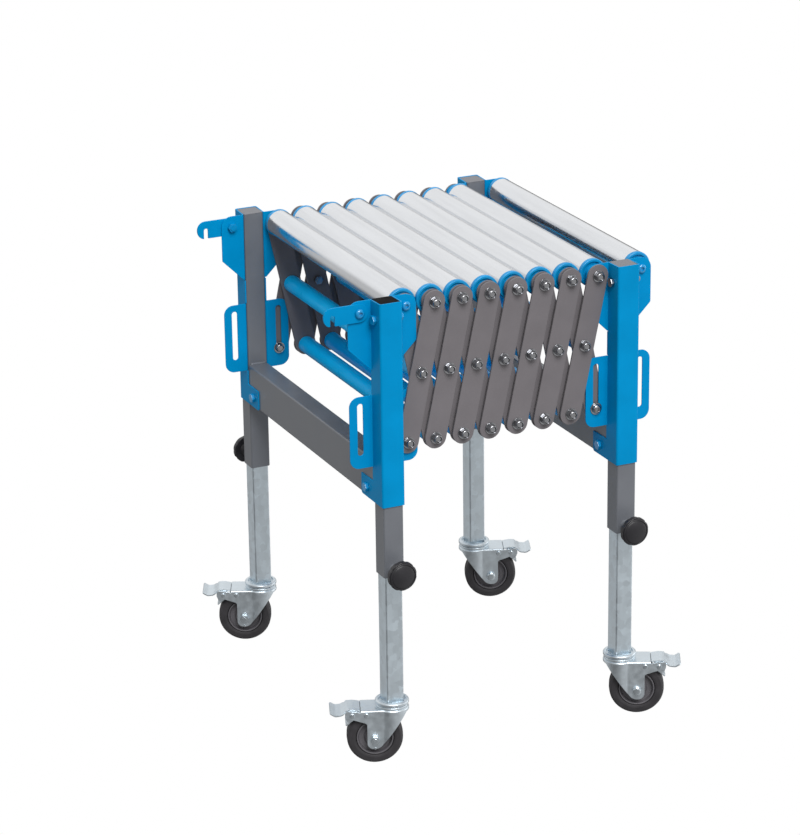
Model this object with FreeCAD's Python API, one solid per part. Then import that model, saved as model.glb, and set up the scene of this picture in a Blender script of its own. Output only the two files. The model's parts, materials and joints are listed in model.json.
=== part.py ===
"""Expandable roller conveyor: two legged end frames joined by lazy tongs that carry the rollers.

Millimetres. +Z is up, X runs along the conveyor, Y along the rollers. The origin is on the floor,
midway between the two end frames. The shape is the closed conveyor, with its legs pushed in.
"""
import FreeCAD
import Part
import math
import os
from FreeCAD import Vector

# Scissor: pin spacing when closed, number of crossings, and the link plates
PITCH = 42.0
UNITS = 7
LINK_CENTRES = 201.4
LINK_WIDTH = 32.0
LINK_THICK = 3.0
TOP_AXIS_Z = 667.0
LINK_DROP = math.sqrt(LINK_CENTRES ** 2 - PITCH ** 2)
BOTTOM_AXIS_Z = TOP_AXIS_Z - LINK_DROP
MIDDLE_AXIS_Z = (TOP_AXIS_Z + BOTTOM_AXIS_Z) / 2

# Places across the conveyor, from the middle outwards
ROLLER_END_Y = 215.0
INNER_LINK_Y = 220.0
TAB_Y = 224.0
OUTER_LINK_Y = 227.0
OUTER_FACE_Y = OUTER_LINK_Y + LINK_THICK

# Rollers
ROLLER_RADIUS = 20.0
ROLLER_WALL = 1.5
CAP_RADIUS = 20.5
CAP_RIM = 6.0
CAP_PLUG = 14.0
CAP_ROUND = 1.5

# Bolts and pins
PIN_RADIUS = 4.0
RUNNING_GAP = 0.08
HOLE_RADIUS = PIN_RADIUS + RUNNING_GAP
HEAD_RADIUS = 6.8
HEAD_HEIGHT = 5.0
HEAD_ROUND = 3.2
BOLT_TAIL = 2.0
NUT_RADIUS = 7.0
NUT_HEIGHT = 6.0
SPACER_RADIUS = 8.0
SLEEVE_RADIUS = 7.0
WASHER_RADIUS = 9.0
WASHER_THICK = 1.2
LOCK_WASHER_RADIUS = 8.5
LOCK_WASHER_THICK = 1.6
LOCK_NUT_RADIUS = 7.0
LOCK_NUT_HEIGHT = 9.6
LOCK_NUT_ROUND = 1.5
FACE_GAP = 0.3

# Overshoot of cutting tools
OVER = 1.0

# Tie tubes between the near and the far inner links
TIE_RADIUS = 12.5
TIE_BORE = 11.0
TIE_INSERT = 16.0

# End frames
TAB_HOLE_OFFSET = 35.0
POST_X = PITCH * UNITS / 2 + TAB_HOLE_OFFSET
POST_SIDE = 30.0
POST_WALL = 1.5
POST_CORNER = 2.0
POST_Y = TAB_Y + POST_SIDE / 2
POST_TOP_Z = 682.0
POST_BOTTOM_Z = 285.0
CROSS_HEIGHT = 60.0
CROSS_BOTTOM_Z = 390.0
CROSS_TOP_Z = CROSS_BOTTOM_Z + CROSS_HEIGHT
PLUG_TOP = 1.5
PLUG_DEPTH = 10.0

# Sheet-metal side channels
SHEET = 2.0
CHANNEL_HALF = POST_SIDE / 2 + SHEET
CHANNEL_TOP_Z = 684.0
BEND_ROUND = 3.0
BEND_INSIDE = 1.0
TAB_REACH = 51.0
EAR_TOP_Z = 683.0
EAR_ROUND = 16.0
TAB_CHAMFER_Z = 616.0
SLOT_TAB_BOTTOM_Z = 442.0
SLOT_TAB_TOP_Z = 546.0
SLOT_TAB_ROUND = 14.0
SLOT_RADIUS = 4.3
SLOT_LOW_Z = 465.0
SLOT_HIGH_Z = 532.0
LOWER_EAR_Y = 185.0
LOWER_EAR_TOP_Z = 420.0
LOWER_EAR_ROUND = 4.0
LOWER_BOLT_Y = 204.0
LOWER_BOLT_Z = 405.0
UPPER_BOLT_Z = 658.0

# Legs, clamp knobs
LEG_SIDE = 26.0
LEG_WALL = 1.5
LEG_TOP_Z = 640.0
LEG_BOTTOM_Z = 95.0
KNOB_Z = 296.0
KNOB_RADIUS = 21.0
KNOB_THICK = 20.0
KNOB_ROUND = 3.0
KNOB_FLUTES = 10
FLUTE_RADIUS = 4.5
FLUTE_CENTRE = 24.4
WELD_NUT_RADIUS = 8.0
WELD_NUT_HEIGHT = 8.0
COLLAR_RADIUS = 7.0
COLLAR_LENGTH = 5.5

# Casters, with the wheel trailing along +U from the swivel axis
WHEEL_RADIUS = 40.0
WHEEL_TRAIL = 25.0
TREAD_HALF = 13.0
TREAD_ROUND = 4.0
TYRE_INNER = 26.0
TYRE_DISH = 2.0
HUB_HALF = 16.5
HUB_RADIUS = 12.0
WEB_HALF = 8.0
FORK_HALF = 20.0
FORK_SHEET = 2.5
CROWN_RADIUS = 24.0
CROWN_Z = 85.0
FORK_PLATE_END = 45.0
FORK_REACH = 67.0
FORK_REAR = 36.2
FORK_FOOT_U = 18.9
FORK_FOOT_Z = 23.0
FORK_FRONT_ROUND = 13.0
FORK_REAR_ROUND = 9.0
ARM_LOW_Z = 64.8
ARM_MIDDLE = (52.5, 70.4)
ARM_TIP_LOW_Z = 74.0
ARM_ROUND = 4.0
RACE_HEIGHT = 4.0
RACE_RADIUS = 23.0
CUP_RADIUS = 24.0
CUP_ROUND = 1.5
KINGPIN_RADIUS = 5.0
KINGPIN_HEAD_RADIUS = 8.0
KINGPIN_HEAD = 2.5
STUB_U = 37.0
STUB_Z = 77.8
RIVET_HEAD_RADIUS = 3.6
RIVET_HEAD = 1.5

# How far each caster is swivelled from straight outwards, in degrees
CASTER_TURNS = {("left", "near"): 22.0, ("left", "far"): 25.0,
                ("right", "near"): 27.0, ("right", "far"): 22.0}

# Brake pedals, on the same U and Z as the casters
PEDAL_PIVOT_U = 57.0
PEDAL_PIVOT_Z = 78.0
PEDAL_PIN_RADIUS = 2.5
PEDAL_SHEET = 2.2
PEDAL_TREAD = [(46.2, 85.2), (56.0, 88.2, 12.0), (63.0, 87.6, 6.0), (73.5, 76.8, 5.0), (79.0, 76.8, 6.0),
               (87.5, 84.2)]
PEDAL_WIDE_U = 69.0
PEDAL_WIDE_HALF = 20.0
PEDAL_EAR_OUT = 16.6
PEDAL_EAR_IN = 14.2
PEDAL_EAR = [(49.0, 85.0), (63.0, 86.5), (65.5, 83.5), (67.0, 70.0, 3.0), (64.0, 64.0, 2.0),
             (57.5, 67.0, 2.0), (52.0, 76.0, 4.0)]
SHOE_HALF = 15.0
SHOE_THICK = 2.0
SHOE_HIGH = (42.0, 2.2)
SHOE_LOW = (27.0, 4.6)

# Coupling hooks
HOOK_THICK = 3.0
HOOK_HALF = 13.0
HOOK_NOSE = 40.0
NOTCH_OFFSET = 39.5
NOTCH_RADIUS = 3.3
NOTCH_TOP = -1.0

SIDES = {"near": -1, "far": 1}
FRAMES = {"left": -POST_X, "right": POST_X}
FIRST_JOINT_X = -PITCH * UNITS / 2
MID_TIES = range(1, UNITS + 1, 2)

# The top joint whose axle both halves of the scissor swing on
MIDDLE_JOINT = 4


def on_xz(a, b):
    return Vector(a, 0, b)


def on_xy(a, b):
    return Vector(a, b, 0)


def on_yz(a, b):
    return Vector(0, a, b)


def rounded_wire(points, place):
    """Close a polygon whose corners (a, b) or (a, b, radius) may be rounded, on the plane of place."""
    corners = [(place(p[0], p[1]), p[2] if len(p) > 2 else 0.0) for p in points]
    stretches = []
    for i, (corner, radius) in enumerate(corners):
        before = corners[i - 1][0]
        after = corners[(i + 1) % len(corners)][0]
        if radius == 0:
            stretches.append((corner, None, corner))
            continue
        to_before = (before - corner).normalize()
        to_after = (after - corner).normalize()
        half_angle = to_before.getAngle(to_after) / 2
        tangent = radius / math.tan(half_angle)
        bisector = (to_before + to_after).normalize()
        middle = corner + bisector * (radius / math.sin(half_angle) - radius)
        stretches.append((corner + to_before * tangent, middle, corner + to_after * tangent))
    edges = []
    for i, (start, middle, end) in enumerate(stretches):
        if middle is not None:
            edges.append(Part.Arc(start, middle, end).toShape())
        following = stretches[(i + 1) % len(stretches)][0]
        if (following - end).Length > 1e-6:
            edges.append(Part.LineSegment(end, following).toShape())
    return Part.Wire(edges)


def plate(points, y0, y1):
    """A flat plate with its outline on the XZ plane."""
    face = Part.Face(rounded_wire(points, on_xz))
    face.translate(Vector(0, y0, 0))
    return face.extrude(Vector(0, y1 - y0, 0))


def column(points, z0, z1):
    """An upright prism with its outline on the XY plane."""
    face = Part.Face(rounded_wire(points, on_xy))
    face.translate(Vector(0, 0, z0))
    return face.extrude(Vector(0, 0, z1 - z0))


def turned(profile, x, z):
    """A solid of revolution about the line along Y through (x, z); the profile holds (radius, y)."""
    face = Part.Face(rounded_wire(profile, on_xy))
    solid = face.revolve(Vector(0, 0, 0), Vector(0, 1, 0), 360)
    solid.translate(Vector(x, 0, z))
    return solid


def ring(inner, outer, y0, y1, x, z):
    return turned([(inner, y0), (outer, y0), (outer, y1), (inner, y1)], x, z)


def rod_y(x, z, radius, y0, y1):
    return Part.makeCylinder(radius, y1 - y0, Vector(x, y0, z), Vector(0, 1, 0))


def rod_x(y, z, radius, x0, x1):
    return Part.makeCylinder(radius, x1 - x0, Vector(x0, y, z), Vector(1, 0, 0))


def rod_z(x, y, radius, z0, z1):
    return Part.makeCylinder(radius, z1 - z0, Vector(x, y, z0), Vector(0, 0, 1))


def box(x0, x1, y0, y1, z0, z1):
    return Part.makeBox(x1 - x0, y1 - y0, z1 - z0, Vector(x0, y0, z0))


def stadium(start, end, half, y0, y1):
    """A plate with full-round ends about two points (x, z)."""
    a = Vector(start[0], 0, start[1])
    b = Vector(end[0], 0, end[1])
    along = (b - a).normalize() * half
    across = Vector(-along.z, 0, along.x)
    edges = [
        Part.LineSegment(a + across, b + across).toShape(),
        Part.Arc(b + across, b + along, b - across).toShape(),
        Part.LineSegment(b - across, a - across).toShape(),
        Part.Arc(a - across, a - along, a + across).toShape(),
    ]
    face = Part.Face(Part.Wire(edges))
    face.translate(Vector(0, y0, 0))
    return face.extrude(Vector(0, y1 - y0, 0))


def square(side, corner):
    half = side / 2
    return [(-half, -half, corner), (half, -half, corner), (half, half, corner), (-half, half, corner)]


def square_tube(x, y, side, wall, z0, z1):
    outer = column(square(side, POST_CORNER), z0, z1)
    inner = column(square(side - 2 * wall, POST_CORNER - wall), z0, z1)
    tube = outer.cut(inner)
    tube.translate(Vector(x, y, 0))
    return tube


def hexagon(radius):
    angles = [math.radians(30 + 60 * k) for k in range(6)]
    return [(radius * math.cos(a), radius * math.sin(a)) for a in angles]


def hex_nut(x, z, y0, y1, bore):
    nut = plate(hexagon(NUT_RADIUS), y0, y1)
    nut.translate(Vector(x, 0, z))
    return nut.cut(rod_y(x, z, bore, y0, y1))


def both_sides(shape):
    """The near and the far copy of a piece that was made on the far side."""
    return [shape.mirror(Vector(0, 0, 0), Vector(0, 1, 0)), shape]


def on_side(shape, side):
    return shape if side > 0 else shape.mirror(Vector(0, 0, 0), Vector(0, 1, 0))


def top_joint(i):
    return FIRST_JOINT_X + PITCH * i, TOP_AXIS_Z


def bottom_joint(i):
    return FIRST_JOINT_X + PITCH * i, BOTTOM_AXIS_Z


def middle_joint(i):
    return FIRST_JOINT_X + PITCH * (i - 0.5), MIDDLE_AXIS_Z


def dome_bolt(x, z, tip_y, seat_y):
    """A dome-headed bolt on the far side, head outwards."""
    top_y = seat_y + HEAD_HEIGHT
    profile = [(0, tip_y), (PIN_RADIUS, tip_y), (PIN_RADIUS, seat_y), (HEAD_RADIUS, seat_y),
               (HEAD_RADIUS, top_y, HEAD_ROUND), (0, top_y)]
    return turned(profile, x, z)


def axle(x, z, seat_y):
    """A roller axle with a dome nut on each end."""
    top_y = seat_y + HEAD_HEIGHT
    far = [(PIN_RADIUS, seat_y), (HEAD_RADIUS, seat_y), (HEAD_RADIUS, top_y, HEAD_ROUND), (0, top_y)]
    near = [(0, -top_y), (HEAD_RADIUS, -top_y, HEAD_ROUND), (HEAD_RADIUS, -seat_y), (PIN_RADIUS, -seat_y)]
    return turned(near + far, x, z)


def lock_nut(seat_y):
    """Half section of a lock nut on its washer, on the far side, from the pin to the middle of its top."""
    face_y = seat_y + LOCK_WASHER_THICK
    top_y = seat_y + LOCK_NUT_HEIGHT
    return [(PIN_RADIUS, seat_y), (LOCK_WASHER_RADIUS, seat_y), (LOCK_WASHER_RADIUS, face_y),
            (LOCK_NUT_RADIUS, face_y), (LOCK_NUT_RADIUS, top_y, LOCK_NUT_ROUND), (0, top_y)]


def joint_bolt(x, z, tip_y, seat_y):
    """A pivot bolt of the scissor on the far side, with its lock nut outwards."""
    return turned([(0, tip_y), (PIN_RADIUS, tip_y)] + lock_nut(seat_y), x, z)


def joint_axle(x, z, seat_y):
    """A roller axle of the scissor with a lock nut on each end."""
    far = lock_nut(seat_y)
    near = [(point[0], -point[1]) + point[2:] for point in reversed(far)]
    return turned(near + far, x, z)


def cross_bolt(x, y, z, half_grip):
    """A bolt along X with a hex head on the left and a hex nut on the right."""
    outline = hexagon(NUT_RADIUS)
    head = Part.Face(rounded_wire(outline, on_yz)).extrude(Vector(HEAD_HEIGHT, 0, 0))
    head.translate(Vector(x - half_grip - HEAD_HEIGHT, y, z))
    nut = Part.Face(rounded_wire(outline, on_yz)).extrude(Vector(NUT_HEIGHT, 0, 0))
    nut.translate(Vector(x + half_grip, y, z))
    shank = rod_x(y, z, PIN_RADIUS, x - half_grip - HEAD_HEIGHT / 2, x + half_grip + NUT_HEIGHT + BOLT_TAIL)
    return head.fuse([nut, shank]).removeSplitter()


def post_frame(x):
    """Two posts, the cross tube between them and the clamp nuts, welded together, with the post plugs."""
    pieces = []
    for side in SIDES.values():
        pieces.append(square_tube(x, side * POST_Y, POST_SIDE, POST_WALL, POST_BOTTOM_Z, POST_TOP_Z))
    half = POST_SIDE / 2
    cross = box(x - half, x + half, -TAB_Y, TAB_Y, CROSS_BOTTOM_Z, CROSS_TOP_Z)
    cross = cross.makeFillet(POST_CORNER, [e for e in cross.Edges if abs(e.Length - 2 * TAB_Y) < 0.1])
    cross = cross.cut(box(x - half + POST_WALL, x + half - POST_WALL, -TAB_Y, TAB_Y,
                          CROSS_BOTTOM_Z + POST_WALL, CROSS_TOP_Z - POST_WALL))
    pieces.append(cross)
    outer_face = TAB_Y + POST_SIDE
    nut = rod_y(x, KNOB_Z, WELD_NUT_RADIUS, outer_face - POST_WALL / 2, outer_face + WELD_NUT_HEIGHT)
    pieces += both_sides(nut)
    frame = pieces[0].fuse(pieces[1:]).removeSplitter()
    holes = []
    for side in SIDES.values():
        holes.append(rod_x(side * POST_Y, UPPER_BOLT_Z, HOLE_RADIUS, x - half - OVER, x + half + OVER))
        holes.append(rod_x(side * LOWER_BOLT_Y, LOWER_BOLT_Z, HOLE_RADIUS, x - half - OVER, x + half + OVER))
    holes += both_sides(rod_y(x, KNOB_Z, HOLE_RADIUS, outer_face - 2 * POST_WALL,
                              outer_face + WELD_NUT_HEIGHT + OVER))
    frame = frame.cut(holes)
    plug_cap = column(square(POST_SIDE, POST_CORNER), POST_TOP_Z, POST_TOP_Z + PLUG_TOP)
    plug_body = column(square(POST_SIDE - 2 * POST_WALL - 2 * RUNNING_GAP, POST_CORNER / 2),
                       POST_TOP_Z - PLUG_DEPTH, POST_TOP_Z)
    plug = plug_cap.fuse(plug_body).removeSplitter()
    plug.translate(Vector(x, POST_Y, 0))
    return [frame] + both_sides(plug)


def channel(x, side):
    """One bent channel: the U round the post, its top ears, slotted tabs and lower ears."""
    outer_y = TAB_Y + POST_SIDE + SHEET
    inner_half = CHANNEL_HALF - SHEET
    u_shape = [(-CHANNEL_HALF, TAB_Y), (-CHANNEL_HALF, outer_y, BEND_ROUND),
               (CHANNEL_HALF, outer_y, BEND_ROUND), (CHANNEL_HALF, TAB_Y),
               (inner_half, TAB_Y), (inner_half, outer_y - SHEET, BEND_INSIDE),
               (-inner_half, outer_y - SHEET, BEND_INSIDE), (-inner_half, TAB_Y)]
    body = column(u_shape, CROSS_BOTTOM_Z, CHANNEL_TOP_Z)
    tab_back = TAB_Y + SHEET
    pieces = []
    cuts = []
    for way in (-1, 1):
        reach = way * TAB_REACH
        root = way * inner_half
        chamfer = TAB_REACH - inner_half
        ear = [(root, EAR_TOP_Z), (reach, EAR_TOP_Z, EAR_ROUND), (reach, TAB_CHAMFER_Z),
               (root, TAB_CHAMFER_Z - chamfer)]
        pieces.append(plate(ear, TAB_Y, tab_back))
        slot_tab = [(root, SLOT_TAB_BOTTOM_Z), (reach, SLOT_TAB_BOTTOM_Z, SLOT_TAB_ROUND),
                    (reach, SLOT_TAB_TOP_Z, SLOT_TAB_ROUND), (root, SLOT_TAB_TOP_Z)]
        pieces.append(plate(slot_tab, TAB_Y, tab_back))
        lower_ear = [(LOWER_EAR_Y, CROSS_BOTTOM_Z, LOWER_EAR_ROUND), (TAB_Y + SHEET, CROSS_BOTTOM_Z),
                     (TAB_Y + SHEET, LOWER_EAR_TOP_Z), (LOWER_EAR_Y, LOWER_EAR_TOP_Z)]
        ear_plate = Part.Face(rounded_wire(lower_ear, on_yz)).extrude(Vector(SHEET, 0, 0))
        ear_plate.translate(Vector(inner_half if way > 0 else -CHANNEL_HALF, 0, 0))
        pieces.append(ear_plate)
        offset = way * TAB_HOLE_OFFSET
        slot_ends = (offset, SLOT_LOW_Z), (offset, SLOT_HIGH_Z)
        cuts.append(stadium(*slot_ends, SLOT_RADIUS, TAB_Y - OVER, tab_back + OVER))
        cuts.append(rod_y(offset, TOP_AXIS_Z, HOLE_RADIUS, TAB_Y - OVER, tab_back + OVER))
    for y, z in ((POST_Y, UPPER_BOLT_Z), (LOWER_BOLT_Y, LOWER_BOLT_Z)):
        cuts.append(rod_x(y, z, HOLE_RADIUS, -CHANNEL_HALF - OVER, CHANNEL_HALF + OVER))
    shape = body.fuse(pieces).removeSplitter().cut(cuts)
    shape.translate(Vector(x, 0, 0))
    return on_side(shape, side)


def frame_fixings(x):
    """The through-bolts that hold the channels of one frame to its post frame."""
    pieces = []
    for side in SIDES.values():
        pieces.append(cross_bolt(x, side * POST_Y, UPPER_BOLT_Z, CHANNEL_HALF))
        pieces.append(cross_bolt(x, side * LOWER_BOLT_Y, LOWER_BOLT_Z, CHANNEL_HALF))
    return pieces


def end_sleeve(x, end_y):
    """The sleeve on an axle that keeps a roller clear of the plate at end_y."""
    return ring(HOLE_RADIUS, SLEEVE_RADIUS, ROLLER_END_Y + FACE_GAP, end_y, x, TOP_AXIS_Z)


def left_frame_bolts():
    pieces = frame_fixings(FRAMES["left"])
    x, z = top_joint(0)
    pieces.append(axle(x, z, TAB_Y + SHEET))
    pieces += both_sides(end_sleeve(x, INNER_LINK_Y - FACE_GAP))
    hook_x = FRAMES["left"] - TAB_HOLE_OFFSET
    hook_face = TAB_Y + SHEET + HOOK_THICK + 2 * FACE_GAP
    pieces += both_sides(dome_bolt(hook_x, z, TAB_Y - NUT_HEIGHT, hook_face))
    pieces += both_sides(hex_nut(hook_x, z, TAB_Y - NUT_HEIGHT, TAB_Y, HOLE_RADIUS))
    return pieces


def right_frame_bolts():
    pieces = frame_fixings(FRAMES["right"])
    x = FRAMES["right"] + TAB_HOLE_OFFSET
    pieces.append(axle(x, TOP_AXIS_Z, TAB_Y + SHEET))
    pieces += both_sides(end_sleeve(x, TAB_Y))
    return pieces


def link(start, end, y0, hole):
    """One link plate with a hole at each end and one at its crossing."""
    shape = stadium(start, end, LINK_WIDTH / 2, y0, y0 + LINK_THICK)
    crossing = ((start[0] + end[0]) / 2, (start[1] + end[1]) / 2)
    holes = [rod_y(x, z, hole, y0 - OVER, y0 + LINK_THICK + OVER) for x, z in (start, crossing, end)]
    return shape.cut(holes)


def tie_tube(x, z):
    """A tie tube with a drilled insert in each end."""
    end = INNER_LINK_Y
    step = end - TIE_INSERT
    profile = [(HOLE_RADIUS, -end), (TIE_RADIUS, -end), (TIE_RADIUS, end), (HOLE_RADIUS, end),
               (HOLE_RADIUS, step), (TIE_BORE, step), (TIE_BORE, -step), (HOLE_RADIUS, -step)]
    return turned(profile, x, z)


def inner_links(i):
    """The near and far inner links of one crossing, with the tie tubes bolted between them."""
    pieces = both_sides(link(top_joint(i - 1), bottom_joint(i), INNER_LINK_Y, HOLE_RADIUS))
    if i in MID_TIES:
        pieces.append(tie_tube(*middle_joint(i)))
    if i < UNITS:
        pieces.append(tie_tube(*bottom_joint(i)))
    else:
        x, z = bottom_joint(i)
        washer_y = TAB_Y + SHEET + FACE_GAP
        seat_y = washer_y + WASHER_THICK
        pieces += both_sides(dome_bolt(x, z, INNER_LINK_Y - NUT_HEIGHT, seat_y))
        pieces += both_sides(ring(HOLE_RADIUS, WASHER_RADIUS, washer_y, seat_y, x, z))
        pieces += both_sides(hex_nut(x, z, INNER_LINK_Y - NUT_HEIGHT, INNER_LINK_Y, HOLE_RADIUS))
    return pieces


def outer_links(i):
    return both_sides(link(bottom_joint(i - 1), top_joint(i), OUTER_LINK_Y, HOLE_RADIUS))


def link_spacer(x, z, play=0.0):
    return ring(HOLE_RADIUS, SPACER_RADIUS, INNER_LINK_Y + LINK_THICK + FACE_GAP, OUTER_LINK_Y - play, x, z)


def top_axle(i, play):
    """The axle of a top joint with its spacers and sleeves, and the play it leaves the outer links."""
    x, z = top_joint(i)
    pieces = [joint_axle(x, z, OUTER_FACE_Y + play)]
    if i < UNITS:
        pieces += both_sides(link_spacer(x, z, play))
    pieces += both_sides(end_sleeve(x, (INNER_LINK_Y if i < UNITS else TAB_Y) - FACE_GAP))
    return pieces


def crossing_bolts(i):
    """Bolts, spacers and nuts at the crossing and the bottom joint of one pair of outer links."""
    pieces = []
    x, z = middle_joint(i)
    tied = i in MID_TIES
    tip = INNER_LINK_Y - (TIE_INSERT if tied else FACE_GAP + NUT_HEIGHT)
    pieces += both_sides(joint_bolt(x, z, tip, OUTER_FACE_Y))
    pieces += both_sides(link_spacer(x, z))
    if not tied:
        pieces += both_sides(hex_nut(x, z, tip, INNER_LINK_Y - FACE_GAP, HOLE_RADIUS))
    x, z = bottom_joint(i - 1)
    if i > 1:
        pieces += both_sides(joint_bolt(x, z, INNER_LINK_Y - TIE_INSERT, OUTER_FACE_Y))
        pieces += both_sides(link_spacer(x, z))
    else:
        inside = TAB_Y - FACE_GAP
        pieces += both_sides(joint_bolt(x, z, inside - NUT_HEIGHT, OUTER_FACE_Y))
        pieces += both_sides(ring(HOLE_RADIUS, WASHER_RADIUS, inside - NUT_HEIGHT, inside, x, z))
    return pieces


def roller(x):
    """A roller tube with a moulded cap pressed into each end."""
    tube_end = ROLLER_END_Y - CAP_RIM
    bore = ROLLER_RADIUS - ROLLER_WALL
    tube = ring(bore, ROLLER_RADIUS, -tube_end, tube_end, x, TOP_AXIS_Z)
    plug_end = tube_end - CAP_PLUG
    cap = turned([(HOLE_RADIUS, plug_end), (bore, plug_end), (bore, tube_end), (CAP_RADIUS, tube_end),
                  (CAP_RADIUS, ROLLER_END_Y, CAP_ROUND), (HOLE_RADIUS, ROLLER_END_Y)], x, TOP_AXIS_Z)
    return [tube] + both_sides(cap)


def roller_places():
    places = [top_joint(i)[0] for i in range(UNITS + 1)]
    places.append(FRAMES["right"] + TAB_HOLE_OFFSET)
    return places


def leg(x, side):
    """A square inner leg with the upper swivel cup and the kingpin at its foot."""
    y = side * POST_Y
    cup_bottom = CROWN_Z + RACE_HEIGHT + FACE_GAP
    crown_under = CROWN_Z - FORK_SHEET
    tube = square_tube(x, y, LEG_SIDE, LEG_WALL, LEG_BOTTOM_Z, LEG_TOP_Z)
    cup = rod_z(x, y, CUP_RADIUS, cup_bottom, LEG_BOTTOM_Z)
    cup = cup.makeFillet(CUP_ROUND, [e for e in cup.Edges if e.Closed])
    pin = rod_z(x, y, KINGPIN_RADIUS, crown_under - KINGPIN_HEAD, LEG_BOTTOM_Z)
    head_top = crown_under - FACE_GAP
    head = rod_z(x, y, KINGPIN_HEAD_RADIUS, head_top - KINGPIN_HEAD, head_top)
    return [tube.fuse([cup, pin, head]).removeSplitter()]


def clamp_knob(x, side):
    """A fluted knob with its collar and threaded stud."""
    face = TAB_Y + POST_SIDE
    tip = face - POST_WALL + FACE_GAP
    collar = face + WELD_NUT_HEIGHT + FACE_GAP
    back = collar + COLLAR_LENGTH
    front = back + KNOB_THICK
    knob = turned([(0, tip), (PIN_RADIUS, tip), (PIN_RADIUS, collar), (COLLAR_RADIUS, collar),
                   (COLLAR_RADIUS, back), (KNOB_RADIUS, back, KNOB_ROUND), (KNOB_RADIUS, front, KNOB_ROUND),
                   (0, front)], x, KNOB_Z)
    flutes = []
    for k in range(KNOB_FLUTES):
        angle = 2 * math.pi * k / KNOB_FLUTES
        flutes.append(rod_y(x + FLUTE_CENTRE * math.cos(angle), KNOB_Z + FLUTE_CENTRE * math.sin(angle),
                            FLUTE_RADIUS, back - OVER, front + OVER))
    return [on_side(knob.cut(flutes), side)]


def fork_outline(inset):
    """Plan of the fork: a round crown that runs into two straight arms."""
    crown = rod_z(0, 0, CROWN_RADIUS - inset, 0, CROWN_Z)
    half = FORK_HALF - inset
    arms = box(0, FORK_REACH + OVER, -half, half, 0, CROWN_Z)
    return crown.fuse(arms).removeSplitter()


def fork():
    """A pressed fork about the swivel axis, with its race, stubs, axle bolt and pedal rivet."""
    under = CROWN_Z - FORK_SHEET
    inside = FORK_HALF - FORK_SHEET
    hollow = fork_outline(FORK_SHEET)
    hollow.translate(Vector(0, 0, -FORK_SHEET))
    shell = fork_outline(0).cut(hollow)
    side_view = [(-CROWN_RADIUS - OVER, CROWN_Z + OVER), (FORK_FOOT_U, FORK_FOOT_Z, FORK_FRONT_ROUND),
                 (FORK_REAR, FORK_FOOT_Z, FORK_REAR_ROUND), (FORK_REAR, ARM_LOW_Z, ARM_ROUND), ARM_MIDDLE,
                 (FORK_REACH, ARM_TIP_LOW_Z, ARM_ROUND), (FORK_REACH, CROWN_Z, ARM_ROUND),
                 (FORK_PLATE_END, CROWN_Z), (FORK_PLATE_END - OVER, CROWN_Z + OVER)]
    shell = shell.common(plate(side_view, -CROWN_RADIUS - OVER, CROWN_RADIUS + OVER))
    shell = shell.cut(box(FORK_PLATE_END, FORK_REACH + OVER, -inside, inside, under - OVER, CROWN_Z + OVER))
    race = rod_z(0, 0, RACE_RADIUS, CROWN_Z, CROWN_Z + RACE_HEIGHT)
    rivet_end = FORK_HALF + RIVET_HEAD
    stubs = both_sides(rod_y(STUB_U, STUB_Z, RIVET_HEAD_RADIUS, FORK_HALF - FORK_SHEET / 2, rivet_end))
    body = shell.fuse([race] + stubs).removeSplitter()
    reach = FORK_HALF + OVER
    body = body.cut([rod_z(0, 0, KINGPIN_RADIUS + RUNNING_GAP, under - OVER, CROWN_Z + RACE_HEIGHT + OVER),
                     rod_y(WHEEL_TRAIL, WHEEL_RADIUS, HOLE_RADIUS, -reach, reach),
                     rod_y(PEDAL_PIVOT_U, PEDAL_PIVOT_Z, PEDAL_PIN_RADIUS + RUNNING_GAP, -reach, reach)])
    head = FORK_HALF + HEAD_HEIGHT
    tail = FORK_HALF + NUT_HEIGHT
    bolt = turned([(0, -head), (HEAD_RADIUS, -head, HEAD_ROUND), (HEAD_RADIUS, -FORK_HALF),
                   (PIN_RADIUS, -FORK_HALF), (PIN_RADIUS, tail), (0, tail)], WHEEL_TRAIL, WHEEL_RADIUS)
    nut = hex_nut(WHEEL_TRAIL, WHEEL_RADIUS, FORK_HALF, tail, HOLE_RADIUS)
    rivet = turned([(0, -rivet_end), (RIVET_HEAD_RADIUS, -rivet_end), (RIVET_HEAD_RADIUS, -FORK_HALF),
                    (PEDAL_PIN_RADIUS, -FORK_HALF), (PEDAL_PIN_RADIUS, FORK_HALF),
                    (RIVET_HEAD_RADIUS, FORK_HALF), (RIVET_HEAD_RADIUS, rivet_end), (0, rivet_end)],
                   PEDAL_PIVOT_U, PEDAL_PIVOT_Z)
    return [body, bolt, nut, rivet]


def wheel():
    """Tyre and hub about the wheel axle."""
    dish = TYRE_INNER + TYRE_DISH
    tyre = turned([(TYRE_INNER, -WEB_HALF), (dish, -TREAD_HALF), (WHEEL_RADIUS, -TREAD_HALF, TREAD_ROUND),
                   (WHEEL_RADIUS, TREAD_HALF, TREAD_ROUND), (dish, TREAD_HALF), (TYRE_INNER, WEB_HALF)],
                  WHEEL_TRAIL, WHEEL_RADIUS)
    foot = HUB_RADIUS + TYRE_DISH
    hub = turned([(HOLE_RADIUS, -HUB_HALF), (HUB_RADIUS, -HUB_HALF), (foot, -WEB_HALF),
                  (TYRE_INNER, -WEB_HALF), (TYRE_INNER, WEB_HALF), (foot, WEB_HALF),
                  (HUB_RADIUS, HUB_HALF), (HOLE_RADIUS, HUB_HALF)], WHEEL_TRAIL, WHEEL_RADIUS)
    return [tyre, hub]


def off_tyre(angle, gap):
    """The point at a gap from the tread, at an angle above level behind the wheel axle."""
    reach = WHEEL_RADIUS + gap
    rise = math.radians(angle)
    return WHEEL_TRAIL + reach * math.cos(rise), WHEEL_RADIUS + reach * math.sin(rise)


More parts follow.
